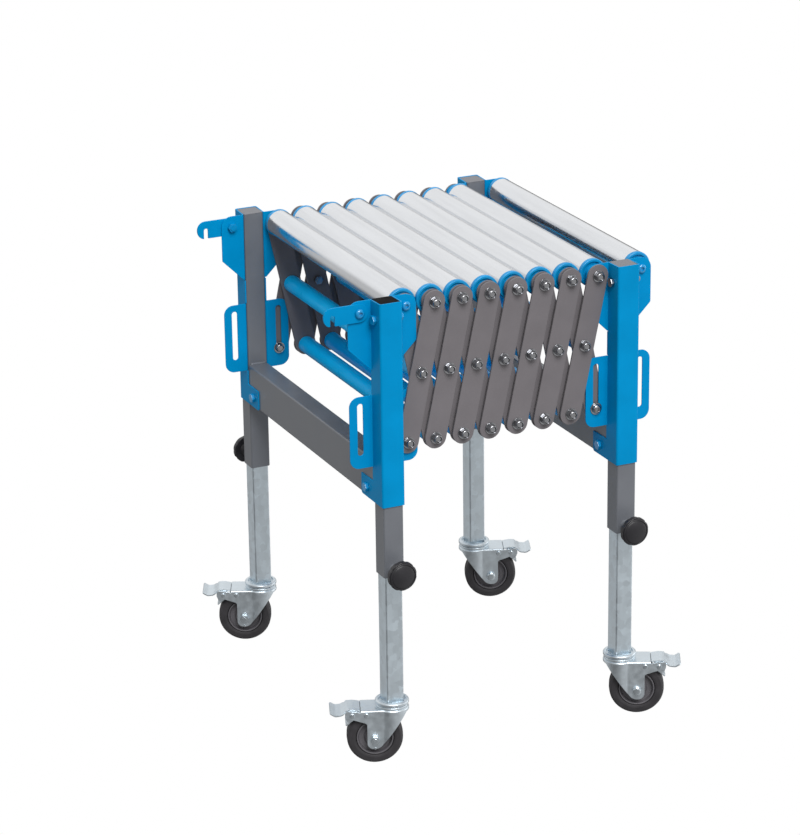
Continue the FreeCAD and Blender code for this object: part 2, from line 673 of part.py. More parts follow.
def brake_pedal():
    """A pressed pedal that widens behind the fork arms, with its pivot ears and the shoe behind the tyre."""
    underside = [(p[0], p[1] - PEDAL_SHEET) + p[2:] for p in reversed(PEDAL_TREAD)]
    pedal = plate(PEDAL_TREAD + underside, -PEDAL_WIDE_HALF, PEDAL_WIDE_HALF)
    side_cut = box(0, PEDAL_WIDE_U, PEDAL_EAR_OUT, PEDAL_WIDE_HALF + OVER, 0, 2 * CROWN_Z)
    pedal = pedal.cut(both_sides(side_cut))
    ears = both_sides(plate(PEDAL_EAR, PEDAL_EAR_IN, PEDAL_EAR_OUT))
    shoe_outline = [off_tyre(*SHOE_HIGH), off_tyre(*SHOE_LOW),
                    off_tyre(SHOE_LOW[0], SHOE_LOW[1] + SHOE_THICK),
                    off_tyre(SHOE_HIGH[0], SHOE_HIGH[1] + SHOE_THICK)]
    shoe = plate(shoe_outline, -SHOE_HALF, SHOE_HALF)
    pivot = rod_y(PEDAL_PIVOT_U, PEDAL_PIVOT_Z, PEDAL_PIN_RADIUS + RUNNING_GAP, -FORK_HALF, FORK_HALF)
    return [pedal.fuse(ears + [shoe]).removeSplitter().cut(pivot)]


def set_caster(pieces, end, name):
    """Put caster pieces under a leg; the wheels trail outwards, each swivelled by its own turn."""
    turn = -CASTER_TURNS[end, name] + (180 if end == "left" else 0)
    for piece in pieces:
        piece.rotate(Vector(0, 0, 0), Vector(0, 0, 1), turn)
        piece.translate(Vector(FRAMES[end], SIDES[name] * POST_Y, 0))
    return pieces


def hook(side):
    """A flat hook with a notch that opens downwards, on the outside of a left top ear."""
    pivot_x = FRAMES["left"] - TAB_HOLE_OFFSET
    y0 = TAB_Y + SHEET + FACE_GAP
    shape = stadium((pivot_x, TOP_AXIS_Z), (pivot_x - HOOK_NOSE, TOP_AXIS_Z), HOOK_HALF, y0, y0 + HOOK_THICK)
    notch_x = pivot_x - NOTCH_OFFSET
    notch = stadium((notch_x, TOP_AXIS_Z + NOTCH_TOP), (notch_x, TOP_AXIS_Z - 2 * HOOK_HALF), NOTCH_RADIUS,
                    y0 - OVER, y0 + HOOK_THICK + OVER)
    pivot = rod_y(pivot_x, TOP_AXIS_Z, HOLE_RADIUS, y0 - OVER, y0 + HOOK_THICK + OVER)
    return [on_side(shape.cut([notch, pivot]), side)]


def build():
    nodes = {}
    for end, x in FRAMES.items():
        nodes[end + "_post_frame"] = post_frame(x)
        for name, side in SIDES.items():
            nodes[end + "_" + name + "_channel"] = [channel(x, side)]
            nodes["leg_" + end + "_" + name] = leg(x, side)
            nodes["clamp_knob_" + end + "_" + name] = clamp_knob(x, side)
            nodes["fork_" + end + "_" + name] = set_caster(fork(), end, name)
            nodes["wheel_" + end + "_" + name] = set_caster(wheel(), end, name)
            nodes["brake_pedal_" + end + "_" + name] = set_caster(brake_pedal(), end, name)
    nodes["left_frame_bolts"] = left_frame_bolts()
    nodes["right_frame_bolts"] = right_frame_bolts()
    for i in range(1, UNITS + 1):
        nodes["inner_links_%d" % i] = inner_links(i)
        nodes["outer_links_%d" % i] = outer_links(i)
        if i == MIDDLE_JOINT:
            nodes["outer_links_%d" % i] += crossing_bolts(i)
            nodes["middle_axle"] = top_axle(i, FACE_GAP)
        else:
            nodes["pivot_bolts_%d" % i] = top_axle(i, 0.0) + crossing_bolts(i)
    for i, x in enumerate(roller_places()):
        nodes["roller_%d" % (i + 1)] = roller(x)
    for name, side in SIDES.items():
        nodes["hook_" + name] = hook(side)
    return nodes


def main():
    os.makedirs("parts", exist_ok=True)
    for name, pieces in build().items():
        for piece in pieces:
            if not piece.isValid() or len(piece.Solids) != 1:
                raise ValueError("%s has a bad solid" % name)
        shape = pieces[0] if len(pieces) == 1 else Part.makeCompound(pieces)
        shape.exportStep("parts/" + name + ".step")


main()
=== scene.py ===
"""Expandable roller conveyor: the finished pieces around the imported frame, and a plain studio stage.

Lengths are millimetres while a piece is shaped and metres once it is finished. +Z is up, X runs along
the conveyor and Y along the rollers; near is -Y and far is +Y.
"""

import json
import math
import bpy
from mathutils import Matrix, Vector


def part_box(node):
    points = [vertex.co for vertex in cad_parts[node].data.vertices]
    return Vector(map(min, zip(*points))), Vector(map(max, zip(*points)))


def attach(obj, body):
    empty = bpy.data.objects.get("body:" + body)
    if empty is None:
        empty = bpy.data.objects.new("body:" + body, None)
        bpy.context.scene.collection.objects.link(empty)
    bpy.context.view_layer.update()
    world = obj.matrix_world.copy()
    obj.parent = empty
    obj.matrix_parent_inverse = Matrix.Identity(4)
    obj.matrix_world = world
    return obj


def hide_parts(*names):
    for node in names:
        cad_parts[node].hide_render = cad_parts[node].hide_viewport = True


bl_info = {
    "name": "Expandable Roller Conveyor",
    "version": (1, 0, 0),
    "blender": (4, 5, 0),
    "location": "View3D > Sidebar > Conveyor",
    "description": "Builds the finished pieces of an expandable roller conveyor and its studio stage",
    "category": "Object",
}

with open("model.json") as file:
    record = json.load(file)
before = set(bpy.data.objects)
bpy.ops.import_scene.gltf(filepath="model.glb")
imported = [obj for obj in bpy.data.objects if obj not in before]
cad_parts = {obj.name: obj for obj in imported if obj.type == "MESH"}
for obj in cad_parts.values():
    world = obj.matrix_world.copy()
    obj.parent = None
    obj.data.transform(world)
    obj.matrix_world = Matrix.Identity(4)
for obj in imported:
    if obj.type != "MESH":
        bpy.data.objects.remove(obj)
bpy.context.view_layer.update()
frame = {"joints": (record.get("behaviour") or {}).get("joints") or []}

import bmesh
import bpy
from mathutils import Matrix, Vector

MM = 0.001
JOINTS = {joint["name"]: joint for joint in frame["joints"]}
ENDS = ("left", "right")
SIDES = {"near": -1, "far": 1}
TAGS = [(end, side) for end in ENDS for side in SIDES]
ALONG = Vector((1, 0, 0))
ACROSS = Vector((0, 1, 0))
UP = Vector((0, 0, 1))

# Multiplied into a place, these keep only its plan or its side view
PLAN = Vector((1, 1, 0))
SIDE_VIEW = Vector((1, 0, 1))

# Turns that stand a shape along Y upright, and lay it down along X
STAND = Matrix.Rotation(math.pi / 2, 4, "X")
LAY = Matrix.Rotation(-math.pi / 2, 4, "Z")

# Clearances: between pieces that turn on each other, round a bolt in its hole, and the short flat that
# keeps the two corners of a full-round end apart
RUNNING_GAP = 0.3
BOLT_PLAY = 0.1
END_FLAT = 0.02

# Length of thread that stands out of a plain nut, and depth of a bolt's end in the collar of a lock nut
NUT_TAIL = 1.2
COLLAR_DEPTH = 1.4

# Faces that meet at more than this many degrees are shaded as a sharp edge
SHARP_ANGLE = 38


def joint_at(name):
    """Where a joint of the frame sits, in millimetres."""
    return Vector(JOINTS[name]["pos_m"]) / MM


def high(node):
    """The highest corner of a node's box, in millimetres."""
    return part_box(node)[1] / MM


def low(node):
    """The lowest corner of a node's box, in millimetres."""
    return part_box(node)[0] / MM


# Places that come from the frame
UNITS = sum(name.startswith("cross_pivot") for name in JOINTS)
ROLLER_PINS = [joint_at("roller_spin_%d" % i) for i in range(1, UNITS + 3)]
TOP_PINS = ROLLER_PINS[:UNITS + 1]
MIDDLE_PINS = [joint_at("cross_pivot_%d" % i) for i in range(1, UNITS + 1)]
DROP = 2 * (TOP_PINS[0].z - MIDDLE_PINS[0].z)
BOTTOM_PINS = [pin - UP * DROP for pin in TOP_PINS]
MIDDLE_JOINT = min(range(UNITS + 1), key=lambda i: (TOP_PINS[i] - joint_at("conveyor_extend")).length)
ROLLER_END = high("roller_1").y
INNER_FACE = high("inner_links_1").y
OUTER_FACE = high("outer_links_1").y
CHANNEL_FACE = high("left_far_channel").y
CHANNEL_TOP = high("left_far_channel").z
CHANNEL_BOTTOM = low("left_far_channel").z
POST_BOTTOM = low("left_post_frame").z
PLUG_TOP = high("left_post_frame").z
LEG_TOP = high("leg_left_near").z
KNOB_FRONT = high("clamp_knob_left_far").y
POST_PLACES = {tag: joint_at("caster_swivel_%s_%s" % tag) * PLAN for tag in TAGS}


def linear(hex_colour):
    """sRGB hex to the linear values that shaders use."""
    channels = [int(hex_colour[i:i + 2], 16) / 255 for i in (1, 3, 5)]
    return tuple(c / 12.92 if c <= 0.04045 else ((c + 0.055) / 1.055) ** 2.4 for c in channels)


def length(name, description, default):
    """A property that holds a length, with its default in millimetres."""
    return bpy.props.FloatProperty(name=name, description=description, default=default * MM, unit="LENGTH")


def colour(name, description, default):
    """A property that holds a colour, with its default in sRGB hex."""
    return bpy.props.FloatVectorProperty(name=name, description=description, default=linear(default),
                                         subtype="COLOR", min=0, max=1)


class ConveyorSizes(bpy.types.PropertyGroup):
    """Sizes that a user would change, beside the places that the frame gives."""
    sheet: length("Channel sheet", "Thickness of the bent side channels", 2.0)
    bend: length("Channel bend", "Outside radius of the channel bends", 3.0)
    post_side: length("Post side", "Width of the square posts", 30.0)
    post_wall: length("Tube wall", "Wall of the posts, cross tubes and legs", 1.5)
    cross_height: length("Cross tube height", "Height of the tube between two posts", 60.0)
    leg_side: length("Leg side", "Width of the square inner legs", 26.0)
    tube_corner: length("Tube corner", "Corner radius of the square tubes", 2.5)
    link_width: length("Link width", "Width of the scissor links", 32.0)
    link_thick: length("Link thickness", "Thickness of the scissor links and hooks", 3.0)
    tie_radius: length("Tie tube radius", "Radius of the tubes between the near and far links", 12.5)
    roller_radius: length("Roller radius", "Radius of the steel roller tubes", 20.0)
    roller_wall: length("Roller wall", "Wall of the steel roller tubes", 1.5)
    cap_radius: length("Cap radius", "Radius of the moulded roller caps", 20.5)
    cap_rim: length("Cap rim", "Visible width of a roller cap", 6.0)
    pin_radius: length("Pin radius", "Radius of bolts and axles", 4.0)
    sleeve_radius: length("Sleeve radius", "Radius of the sleeves beside the rollers", 7.0)
    spacer_radius: length("Spacer radius", "Radius of the spacers between the links", 8.0)
    head_radius: length("Dome radius", "Radius of the dome heads", 6.8)
    head_height: length("Dome height", "Height of the dome heads", 5.0)
    hex_radius: length("Hexagon radius", "Corner radius of hex heads and nuts", 7.0)
    nut_height: length("Nut height", "Height of hex nuts", 6.0)
    lock_nut_height: length("Lock nut height", "Height of a scissor nut with its washer", 9.6)
    lock_washer: length("Lock washer radius", "Radius of the washers under the scissor nuts", 8.5)
    knob_radius: length("Knob radius", "Radius of the clamp knobs", 21.0)
    knob_thick: length("Knob thickness", "Thickness of the clamp knobs", 20.0)
    wheel_radius: length("Wheel radius", "Radius of the caster wheels", 40.0)
    wheel_trail: length("Wheel trail", "Distance from swivel axis to wheel axle", 25.0)
    fork_half: length("Fork half width", "Half the width over the fork arms", 20.0)
    fork_sheet: length("Fork sheet", "Thickness of the pressed forks", 2.5)
    pedal_sheet: length("Pedal sheet", "Thickness of the pressed pedals", 2.2)


class ConveyorColours(bpy.types.PropertyGroup):
    """Colours of the finishes."""
    blue: colour("Blue", "Powder coat on channels and hooks", "#0088C1")
    # Painted light: the ties' blue is lighter than the sheet's blue, to stand in for light they lack in the
    # shade under the rollers
    tie_blue: colour("Tie blue", "Lighter powder coat on the tie tubes", "#00BDFF")
    cap_blue: colour("Cap blue", "Moulded roller caps", "#0088C1")
    tube_grey: colour("Tube grey", "Powder coat on posts and cross tubes", "#676A70")
    link_grey: colour("Link grey", "Powder coat on the scissor links", "#6D696C")
    roller: colour("Roller", "Zinc-plated roller tubes", "#DFE1E4")
    leg: colour("Leg", "Galvanised legs", "#D4DFE6")
    pressing: colour("Pressing", "Zinc-plated forks, pedals and caster bolts", "#D6DFE5")
    fixing: colour("Fixing", "Zinc bolts and nuts of the frames and scissor", "#A2A3A6")
    tyre: colour("Tyre", "Rubber tyres", "#2C2A2D")
    hub: colour("Hub", "Moulded wheel hubs", "#5E5C60")
    black: colour("Black plastic", "Moulded clamp knobs", "#1F1E22")
    plug_black: colour("Plug black", "The black post plug", "#060607")
    plug_grey: colour("Grey plastic", "Moulded grey post plugs", "#6A6B70")
    floor: colour("Floor", "Studio floor", "#F4F4F4")


def size(name):
    """One of the conveyor's sizes, in millimetres."""
    return getattr(bpy.context.scene.conveyor_sizes, name) / MM


def rgba(name):
    """One of the conveyor's colours, opaque."""
    return (*getattr(bpy.context.scene.conveyor_colours, name), 1.0)


def hole_radius():
    """Radius of the holes that bolts and axles pass through."""
    return size("pin_radius") + BOLT_PLAY


def tab_outside():
    """How far out the outer face of a channel's tabs and ears is."""
    return CHANNEL_FACE - size("post_side")


def tab_inside():
    """How far out the inner face of a channel's tabs and ears is."""
    return tab_outside() - size("sheet")


# Materials

def connect(tree, node, inputs):
    """Give each input of a node a value or a link."""
    for key, value in inputs.items():
        if isinstance(value, bpy.types.NodeSocket):
            tree.links.new(value, node.inputs[key])
        else:
            node.inputs[key].default_value = value


def add_node(tree, kind, inputs=None, **settings):
    """Add a shader node of a kind with its settings, and give its inputs values or links."""
    node = tree.nodes.new("ShaderNode" + kind)
    for key, value in settings.items():
        setattr(node, key, value)
    connect(tree, node, inputs or {})
    return node


def new_material(name):
    """A new material, its nodes, its shader, and the Object coordinates that its patterns read."""
    material = bpy.data.materials.new(name)
    material.use_nodes = True
    tree = material.node_tree
    place = add_node(tree, "TexCoord").outputs["Object"]
    return material, tree, tree.nodes["Principled BSDF"], place


def per_metre(millimetres):
    """Texture scale whose features are about this large."""
    return 1 / (millimetres * MM)


def clouded(name, base, cloud, tones, glosses, grain, surface):
    """A finish whose tone and roughness drift in soft clouds, over a finer raised grain.

    cloud is (size, detail) and grain is (size, detail, strength, depth), with size and depth in millimetres.
    tones and glosses are the lowest and highest value; surface holds the shader's other inputs.
    """
    material, tree, shader, place = new_material(name)
    cloud_size, cloud_detail = cloud
    grain_size, grain_detail, strength, depth = grain
    drift = add_node(tree, "TexNoise", {"Vector": place, "Scale": per_metre(cloud_size),
                                        "Detail": cloud_detail})
    raised = add_node(tree, "TexNoise", {"Vector": place, "Scale": per_metre(grain_size),
                                         "Detail": grain_detail})
    spread = {"Value": drift.outputs["Fac"], "From Min": 0.3, "From Max": 0.7}
    tone = add_node(tree, "MapRange", {**spread, "To Min": tones[0], "To Max": tones[1]})
    gloss = add_node(tree, "MapRange", {**spread, "To Min": glosses[0], "To Max": glosses[1]})
    shade = add_node(tree, "HueSaturation", {"Color": rgba(base), "Value": tone.outputs["Result"]})
    bump = add_node(tree, "Bump", {"Height": raised.outputs["Fac"], "Strength": strength,
                                   "Distance": depth * MM})
    connect(tree, shader, {"Base Color": shade.outputs["Color"], "Roughness": gloss.outputs["Result"],
                           "Normal": bump.outputs["Normal"], **surface})
    return material


def powder_coat(name, base, roughness, shine):
    """Baked powder coat on steel: an even satin colour with a faint mottle and a soft orange peel.

    The real peel is about 1 mm across and is drawn at 2.5 mm so that it shows.
    """
    return clouded(name, base, (45, 3.0), (0.93, 1.05), (roughness - 0.05, roughness + 0.06),
                   (2.5, 2.0, 0.12, 0.15), {"IOR": 1.5, "Specular IOR Level": shine})


def blue_powder_coat():
    """Folded and flat blue sheet: almost matt, so its shaded faces stay deep."""
    return powder_coat("blue_powder_coat", "blue", 0.36, 0.05)


def painted_fixing():
    """Bolts coated with the sheet: a glossier film that glints on rounded heads."""
    return powder_coat("painted_fixing", "blue", 0.22, 0.9)


def tie_painted_light_coat():
    """Blue tie tubes: the sheet's blue painted lighter, as painted light for the shade they sit in under the
    rollers, with a soft line of light along the tube.
    """
    return powder_coat("tie_painted_light_coat", "tie_blue", 0.3, 0.15)


def grey_powder_coat():
    """Grey posts and cross tubes: a satin sheen that lifts the faces turned from the light."""
    return powder_coat("grey_powder_coat", "tube_grey", 0.34, 0.65)


def link_powder_coat():
    """Grey links: a warmer, flatter grey than the posts."""
    return powder_coat("link_powder_coat", "link_grey", 0.4, 0.4)


def plated_roller_tube():
    """Zinc-plated drawn tube: bright satin metal with rings left by turning and faint long smears.

    The real rings are well under 1 mm apart and are drawn at 5 mm so that they show.
    """
    material, tree, shader, place = new_material("plated_roller_tube")
    rings = add_node(tree, "Mapping", {"Vector": place, "Scale": (0.02, 1.0, 0.02)})
    turning = add_node(tree, "TexNoise", {"Vector": rings.outputs["Vector"], "Scale": per_metre(5),
                                          "Detail": 2.0})
    drawn = add_node(tree, "Mapping", {"Vector": place, "Scale": (1.0, 0.06, 1.0)})
    smear = add_node(tree, "TexNoise", {"Vector": drawn.outputs["Vector"], "Scale": per_metre(9),
                                        "Detail": 3.0})
    tone = add_node(tree, "MapRange", {"Value": smear.outputs["Fac"], "From Min": 0.3,
                                       "From Max": 0.7, "To Min": 0.95, "To Max": 1.03})
    shade = add_node(tree, "HueSaturation", {"Color": rgba("roller"),
                                             "Value": tone.outputs["Result"]})
    gloss = add_node(tree, "MapRange", {"Value": turning.outputs["Fac"], "From Min": 0.3,
                                        "From Max": 0.7, "To Min": 0.15, "To Max": 0.21})
    bump = add_node(tree, "Bump", {"Height": turning.outputs["Fac"], "Strength": 0.015,
                                   "Distance": 0.05 * MM})
    connect(tree, shader, {"Base Color": shade.outputs["Color"], "Roughness": gloss.outputs["Result"],
                           "Normal": bump.outputs["Normal"], "Metallic": 1.0})
    return material


def galvanised_tube():
    """Hot-dip galvanised tube: crystals of spangle about 9 mm across, each with its own tone and gloss."""
    material, tree, shader, place = new_material("galvanised_tube")
    wander = add_node(tree, "TexNoise", {"Vector": place, "Scale": per_metre(6), "Detail": 2.0})
    bent = add_node(tree, "Mix", {"Factor": 0.006, 4: place, 5: wander.outputs["Color"]}, data_type="VECTOR")
    crystal = add_node(tree, "TexVoronoi", {"Vector": bent.outputs[1], "Scale": per_metre(9)})
    streak = add_node(tree, "Mapping", {"Vector": place, "Scale": (1.0, 1.0, 0.15)})
    runs = add_node(tree, "TexNoise", {"Vector": streak.outputs["Vector"], "Scale": per_metre(7),
                                       "Detail": 4.0})
    mixed = add_node(tree, "Mix", {"Factor": 0.45, "A": crystal.outputs["Color"],
                                   "B": runs.outputs["Fac"]}, data_type="FLOAT")
    tone = add_node(tree, "MapRange", {"Value": mixed.outputs["Result"], "From Min": 0.15,
                                       "From Max": 0.85, "To Min": 0.82, "To Max": 1.06})
    shade = add_node(tree, "HueSaturation", {"Color": rgba("leg"), "Value": tone.outputs["Result"]})
    gloss = add_node(tree, "MapRange", {"Value": crystal.outputs["Color"], "To Min": 0.3,
                                        "To Max": 0.52})
    bump = add_node(tree, "Bump", {"Height": mixed.outputs["Result"], "Strength": 0.15,
                                   "Distance": 0.1 * MM})
    connect(tree, shader, {"Base Color": shade.outputs["Color"], "Roughness": gloss.outputs["Result"],
                           "Normal": bump.outputs["Normal"], "Metallic": 1.0})
    return material


def plated_steel(name, base, roughness, grain):
    """Zinc-plated steel: bright metal with a fine cloudy grain that breaks up its reflections."""
    return clouded(name, base, (grain, 3.0), (0.93, 1.04), (roughness - 0.06, roughness + 0.08),
                   (grain, 3.0, 0.04, 0.1), {"Metallic": 1.0})


def plated_pressing():
    """Pressed caster sheet: plating dulled by forming, with broad soft lights."""
    return plated_steel("plated_pressing", "pressing", 0.4, 9)


def bright_fixing():
    """Nuts and bolts of the frames and scissor: a darker, sharper shine."""
    return plated_steel("bright_fixing", "fixing", 0.18, 3)


def bright_caster_fixing():
    """Caster bolts and rivets: as light as the pressing, with a sharper shine."""
    return plated_steel("bright_caster_fixing", "pressing", 0.2, 3)


def moulded_plastic(name, base, roughness, grain, shine=0.5):
    """Injection-moulded plastic: a fine spark-eroded grain, drawn at twice its size so that it shows."""
    return clouded(name, base, (18, 3.0), (0.88, 1.14), (roughness - 0.06, roughness + 0.08),
                   (grain, 3.0, 0.2, 0.12), {"IOR": 1.5, "Specular IOR Level": shine})


def blue_cap_plastic():
    """Polypropylene roller caps: the sheet's blue with a waxy shine."""
    return moulded_plastic("blue_cap_plastic", "cap_blue", 0.35, 1.5)


def black_plug_plastic():
    """The black post plug: matt and deep."""
    return moulded_plastic("black_plug_plastic", "plug_black", 0.6, 1.2, 0.05)


def black_knob_plastic():
    """Nylon clamp knobs: charcoal with a soft shine on the flutes."""
    return moulded_plastic("black_knob_plastic", "black", 0.42, 1.2)


def grey_plug_plastic():
    """Grey post plugs: close to the posts' own colour."""
    return moulded_plastic("grey_plug_plastic", "plug_grey", 0.45, 1.2)


def hub_plastic():
    """Nylon wheel hubs: a mid grey that sets them off from the tyre."""
    return moulded_plastic("hub_plastic", "hub", 0.45, 1.5)


def tyre_rubber():
    """Vulcanised rubber: matt charcoal with dusty patches and a fine rubbed grain.

    The real grain is well under 1 mm and is drawn at 1.6 mm so that it shows.
    """
    return clouded("tyre_rubber", "tyre", (14, 4.0), (0.85, 1.25), (0.5, 0.68), (1.6, 3.0, 0.25, 0.15),
                   {"IOR": 1.52})


def painted_floor():
    """Matt white studio floor with a barely seen roller texture."""
    material, tree, shader, place = new_material("painted_floor")
    nap = add_node(tree, "TexNoise", {"Vector": place, "Scale": per_metre(4), "Detail": 2.0})
    bump = add_node(tree, "Bump", {"Height": nap.outputs["Fac"], "Strength": 0.03,
                                   "Distance": 0.2 * MM})
    connect(tree, shader, {"Base Color": rgba("floor"), "Roughness": 0.85, "Normal": bump.outputs["Normal"],
                           "Emission Color": rgba("floor"), "Emission Strength": 0.45})
    return material


def finish(maker):
    """The material that a maker function gives, made once."""
    return bpy.data.materials.get(maker.__name__) or maker()


# Shaping

def bevel(bm, geom, width, segments, affect="EDGES"):
    """Round edges, or corners with affect VERTICES."""
    bmesh.ops.bevel(bm, geom=geom, offset=width, offset_type="OFFSET", affect=affect, segments=segments,
                    profile=0.5, material=-1, clamp_overlap=False)


def round_corners(bm, verts, corners, place, segments):
    """Bevel each vertex whose corner has a radius at this place in its tuple."""
    offsets = []
    for vert, corner in zip(verts, corners):
        radius = corner[place] if len(corner) > place else 0
        if radius:
            first, second = (edge.other_vert(vert).co - vert.co for edge in vert.link_edges)
            offsets.append((vert, radius / math.tan(first.angle(second) / 2)))
    for vert, offset in offsets:
        bevel(bm, [vert], offset, segments, affect="VERTICES")


def rounded_face(corners, segments=6):
    """A flat face through corners (x, y, z) or (x, y, z, radius), with the radii rounded."""
    bm = bmesh.new()
    verts = [bm.verts.new(corner[:3]) for corner in corners]
    bm.faces.new(verts)
    round_corners(bm, verts, corners, place=3, segments=segments)
    return bm


def level_rectangle(width, depth, z, corner):
    """A level rectangle about the Z axis with rounded corners."""
    a = width / 2
    b = depth / 2
    return rounded_face([(-a, -b, z, corner), (a, -b, z, corner), (a, b, z, corner), (-a, b, z, corner)],
                        segments=4)


def side_rectangle(x0, x1, z0, z1, corner, segments):
    """A rectangle in side view with rounded corners."""
    return rounded_face([(x0, 0, z0, corner), (x1, 0, z0, corner), (x1, 0, z1, corner), (x0, 0, z1, corner)],
                        segments)


def disc(radius, segments, at=(0, 0, 0), turn=0):
    """A flat round face, or one with a few corners, that looks along Y."""
    bm = bmesh.new()
    bmesh.ops.create_circle(bm, cap_ends=True, radius=radius, segments=segments,
                            matrix=Matrix.Translation(at) @ STAND @ Matrix.Rotation(turn, 4, "Z"))
    return bm


def cut_holes(bm, holes):
    """Refill a flat face so that closed loops of other face meshes are left open in it."""
    bmesh.ops.delete(bm, geom=bm.faces[:], context="FACES_ONLY")
    whole = gather(bm, *holes)
    bmesh.ops.delete(whole, geom=whole.faces[:], context="FACES_ONLY")
    bmesh.ops.triangle_fill(whole, use_beauty=True, use_dissolve=False, edges=whole.edges[:])
    return whole


def new_verts(extrusion):
    """The vertices that an extrusion made."""
    return [v for v in extrusion["geom"] if isinstance(v, bmesh.types.BMVert)]


def thicken(bm, depth):
    """Extrude a flat face by a vector into a closed plate."""
    grown = bmesh.ops.extrude_face_region(bm, geom=bm.faces[:])
    bmesh.ops.translate(bm, vec=depth, verts=new_verts(grown))
    bmesh.ops.recalc_face_normals(bm, faces=bm.faces[:])
    return bm


def face_out(bm, way):
    """Turn an open sheet so that its furthest face one way looks that way, and give that face."""
    bmesh.ops.recalc_face_normals(bm, faces=bm.faces[:])
    furthest = max(bm.faces, key=lambda face: face.calc_center_median().dot(way))
    if furthest.normal.dot(way) < 0:
        bmesh.ops.reverse_faces(bm, faces=bm.faces[:])
    return furthest


def ease(bm, width, angle=60, segments=2):
    """Round every edge that is sharper than an angle."""
    sharp = [e for e in bm.edges if len(e.link_faces) == 2 and e.calc_face_angle(0) > math.radians(angle)]
    bevel(bm, sharp, width, segments)
    return bm


def chain(bm, points):
    """Join points by edges, and give their vertices."""
    verts = [bm.verts.new(point) for point in points]
    for first, second in zip(verts, verts[1:]):
        bm.edges.new((first, second))
    return verts


def turned(profile, steps=32):
    """Spin a profile of (radius, y) or (radius, y, round) about the Y axis into a closed solid."""
    bm = bmesh.new()
    verts = chain(bm, [(point[0], point[1], 0) for point in profile])
    if profile[0][0] > 0:
        bm.edges.new((verts[-1], verts[0]))
    round_corners(bm, verts, profile, place=2, segments=4)
    bmesh.ops.spin(bm, geom=bm.verts[:] + bm.edges[:], cent=(0, 0, 0), axis=ACROSS, angle=2 * math.pi,
                   steps=steps, use_merge=True, use_duplicate=False)
    bmesh.ops.remove_doubles(bm, verts=bm.verts[:], dist=1e-4)
    bmesh.ops.recalc_face_normals(bm, faces=bm.faces[:])
    return bm


def moved(bm, place):
    """Put a shape at a place, by a vector or a matrix."""
    matrix = place if isinstance(place, Matrix) else Matrix.Translation(place)
    bmesh.ops.transform(bm, matrix=matrix, verts=bm.verts[:])
    return bm


def gather(*parts):
    """Join shapes into one."""
    whole = bmesh.new()
    for part in parts:
        mesh = bpy.data.meshes.new("part")
        part.to_mesh(mesh)
        part.free()
        whole.from_mesh(mesh)
        bpy.data.meshes.remove(mesh)
    return whole


def mirrored(bm):
    """Turn a far-side shape into its near-side twin."""
    bmesh.ops.scale(bm, vec=(1, -1, 1), verts=bm.verts[:])
    bmesh.ops.reverse_faces(bm, faces=bm.faces[:])
    return bm


def both_sides(bm):
    """A far-side shape and its near-side twin."""
    return gather(bm.copy(), mirrored(bm))


def on_side(bm, side):
    """A far-side shape, mirrored where it belongs on the near side."""
    return bm if SIDES[side] > 0 else mirrored(bm)


def axes(origin, x_axis, y_axis):
    """The matrix with this origin and these two axes."""
    z_axis = x_axis.cross(y_axis)
    return Matrix.Translation(origin) @ Matrix((x_axis, y_axis, z_axis)).transposed().to_4x4()


def add_piece(name, bm, maker, body, nodes=()):
    """Finish a shape: metres, shading, material, the body it rides on and the nodes it stands for."""
    bmesh.ops.scale(bm, vec=(MM, MM, MM), verts=bm.verts[:])
    mesh = bpy.data.meshes.new(name)
    bm.to_mesh(mesh)
    bm.free()
    mesh.shade_smooth()
    mesh.set_sharp_from_angle(angle=math.radians(SHARP_ANGLE))
    mesh.materials.append(finish(maker))
    piece = bpy.data.objects.new(name, mesh)
    bpy.context.scene.collection.objects.link(piece)
    weighting = piece.modifiers.new("Flat faces", "WEIGHTED_NORMAL")
    weighting.keep_sharp = True
    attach(piece, body)
    if nodes:
        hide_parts(*nodes)
    return piece


# Fasteners

def hexagon(y0, y1):
    """A hex head or nut along Y with eased corners."""
    bm = disc(size("hex_radius"), 6, (0, y0, 0), turn=math.pi / 6)
    thicken(bm, ACROSS * (y1 - y0))
    return ease(bm, 0.7, angle=30)


def ring(inner, outer, y0, y1):
    """A washer, spacer or sleeve along Y."""
    return turned([(inner, y0), (outer, y0, 0.3), (outer, y1, 0.3), (inner, y1)])


def dome_bolt(tip, seat):
    """A dome-headed bolt along Y, head outwards, with a hex socket."""
    pin = size("pin_radius")
    head = size("head_radius")
    top = seat + size("head_height")
    socket = head * 0.45
    depth = 2.4
    bm = turned([(0, tip), (pin, tip), (pin, seat), (head, seat), (head, top, head * 0.47),
                 (socket, top, 0.25), (socket, top - depth), (0, top - depth - 0.4)], steps=36)
    # The wall of the socket is turned round, and is drawn in here to six flats
    for vert in bm.verts:
        reach = math.hypot(vert.co.x, vert.co.z)
        if vert.co.y > top - depth - 0.1 and socket * 0.9 < reach < socket * 1.12:
            turn = math.atan2(vert.co.z, vert.co.x) % (math.pi / 3) - math.pi / 6
            flat = math.cos(math.pi / 6) / math.cos(turn)
            vert.co.x *= flat
            vert.co.z *= flat
    return bm


def lock_nut(seat, washer, top, turn):
    """A washer and a lock nut along Y, turned as it was tightened, with a recess in its rounded collar."""
    shoulder = top - 2.6
    root = shoulder - 0.2
    collar = turned([(hole_radius(), root), (6.4, root), (6.2, top, 2.0), (4.7, top, 0.3),
                     (hole_radius(), top - 2.2)])
    nut = moved(gather(hexagon(seat + washer, shoulder), collar), Matrix.Rotation(turn, 4, "Y"))
    return gather(ring(hole_radius(), size("lock_washer"), seat, seat + washer), nut)


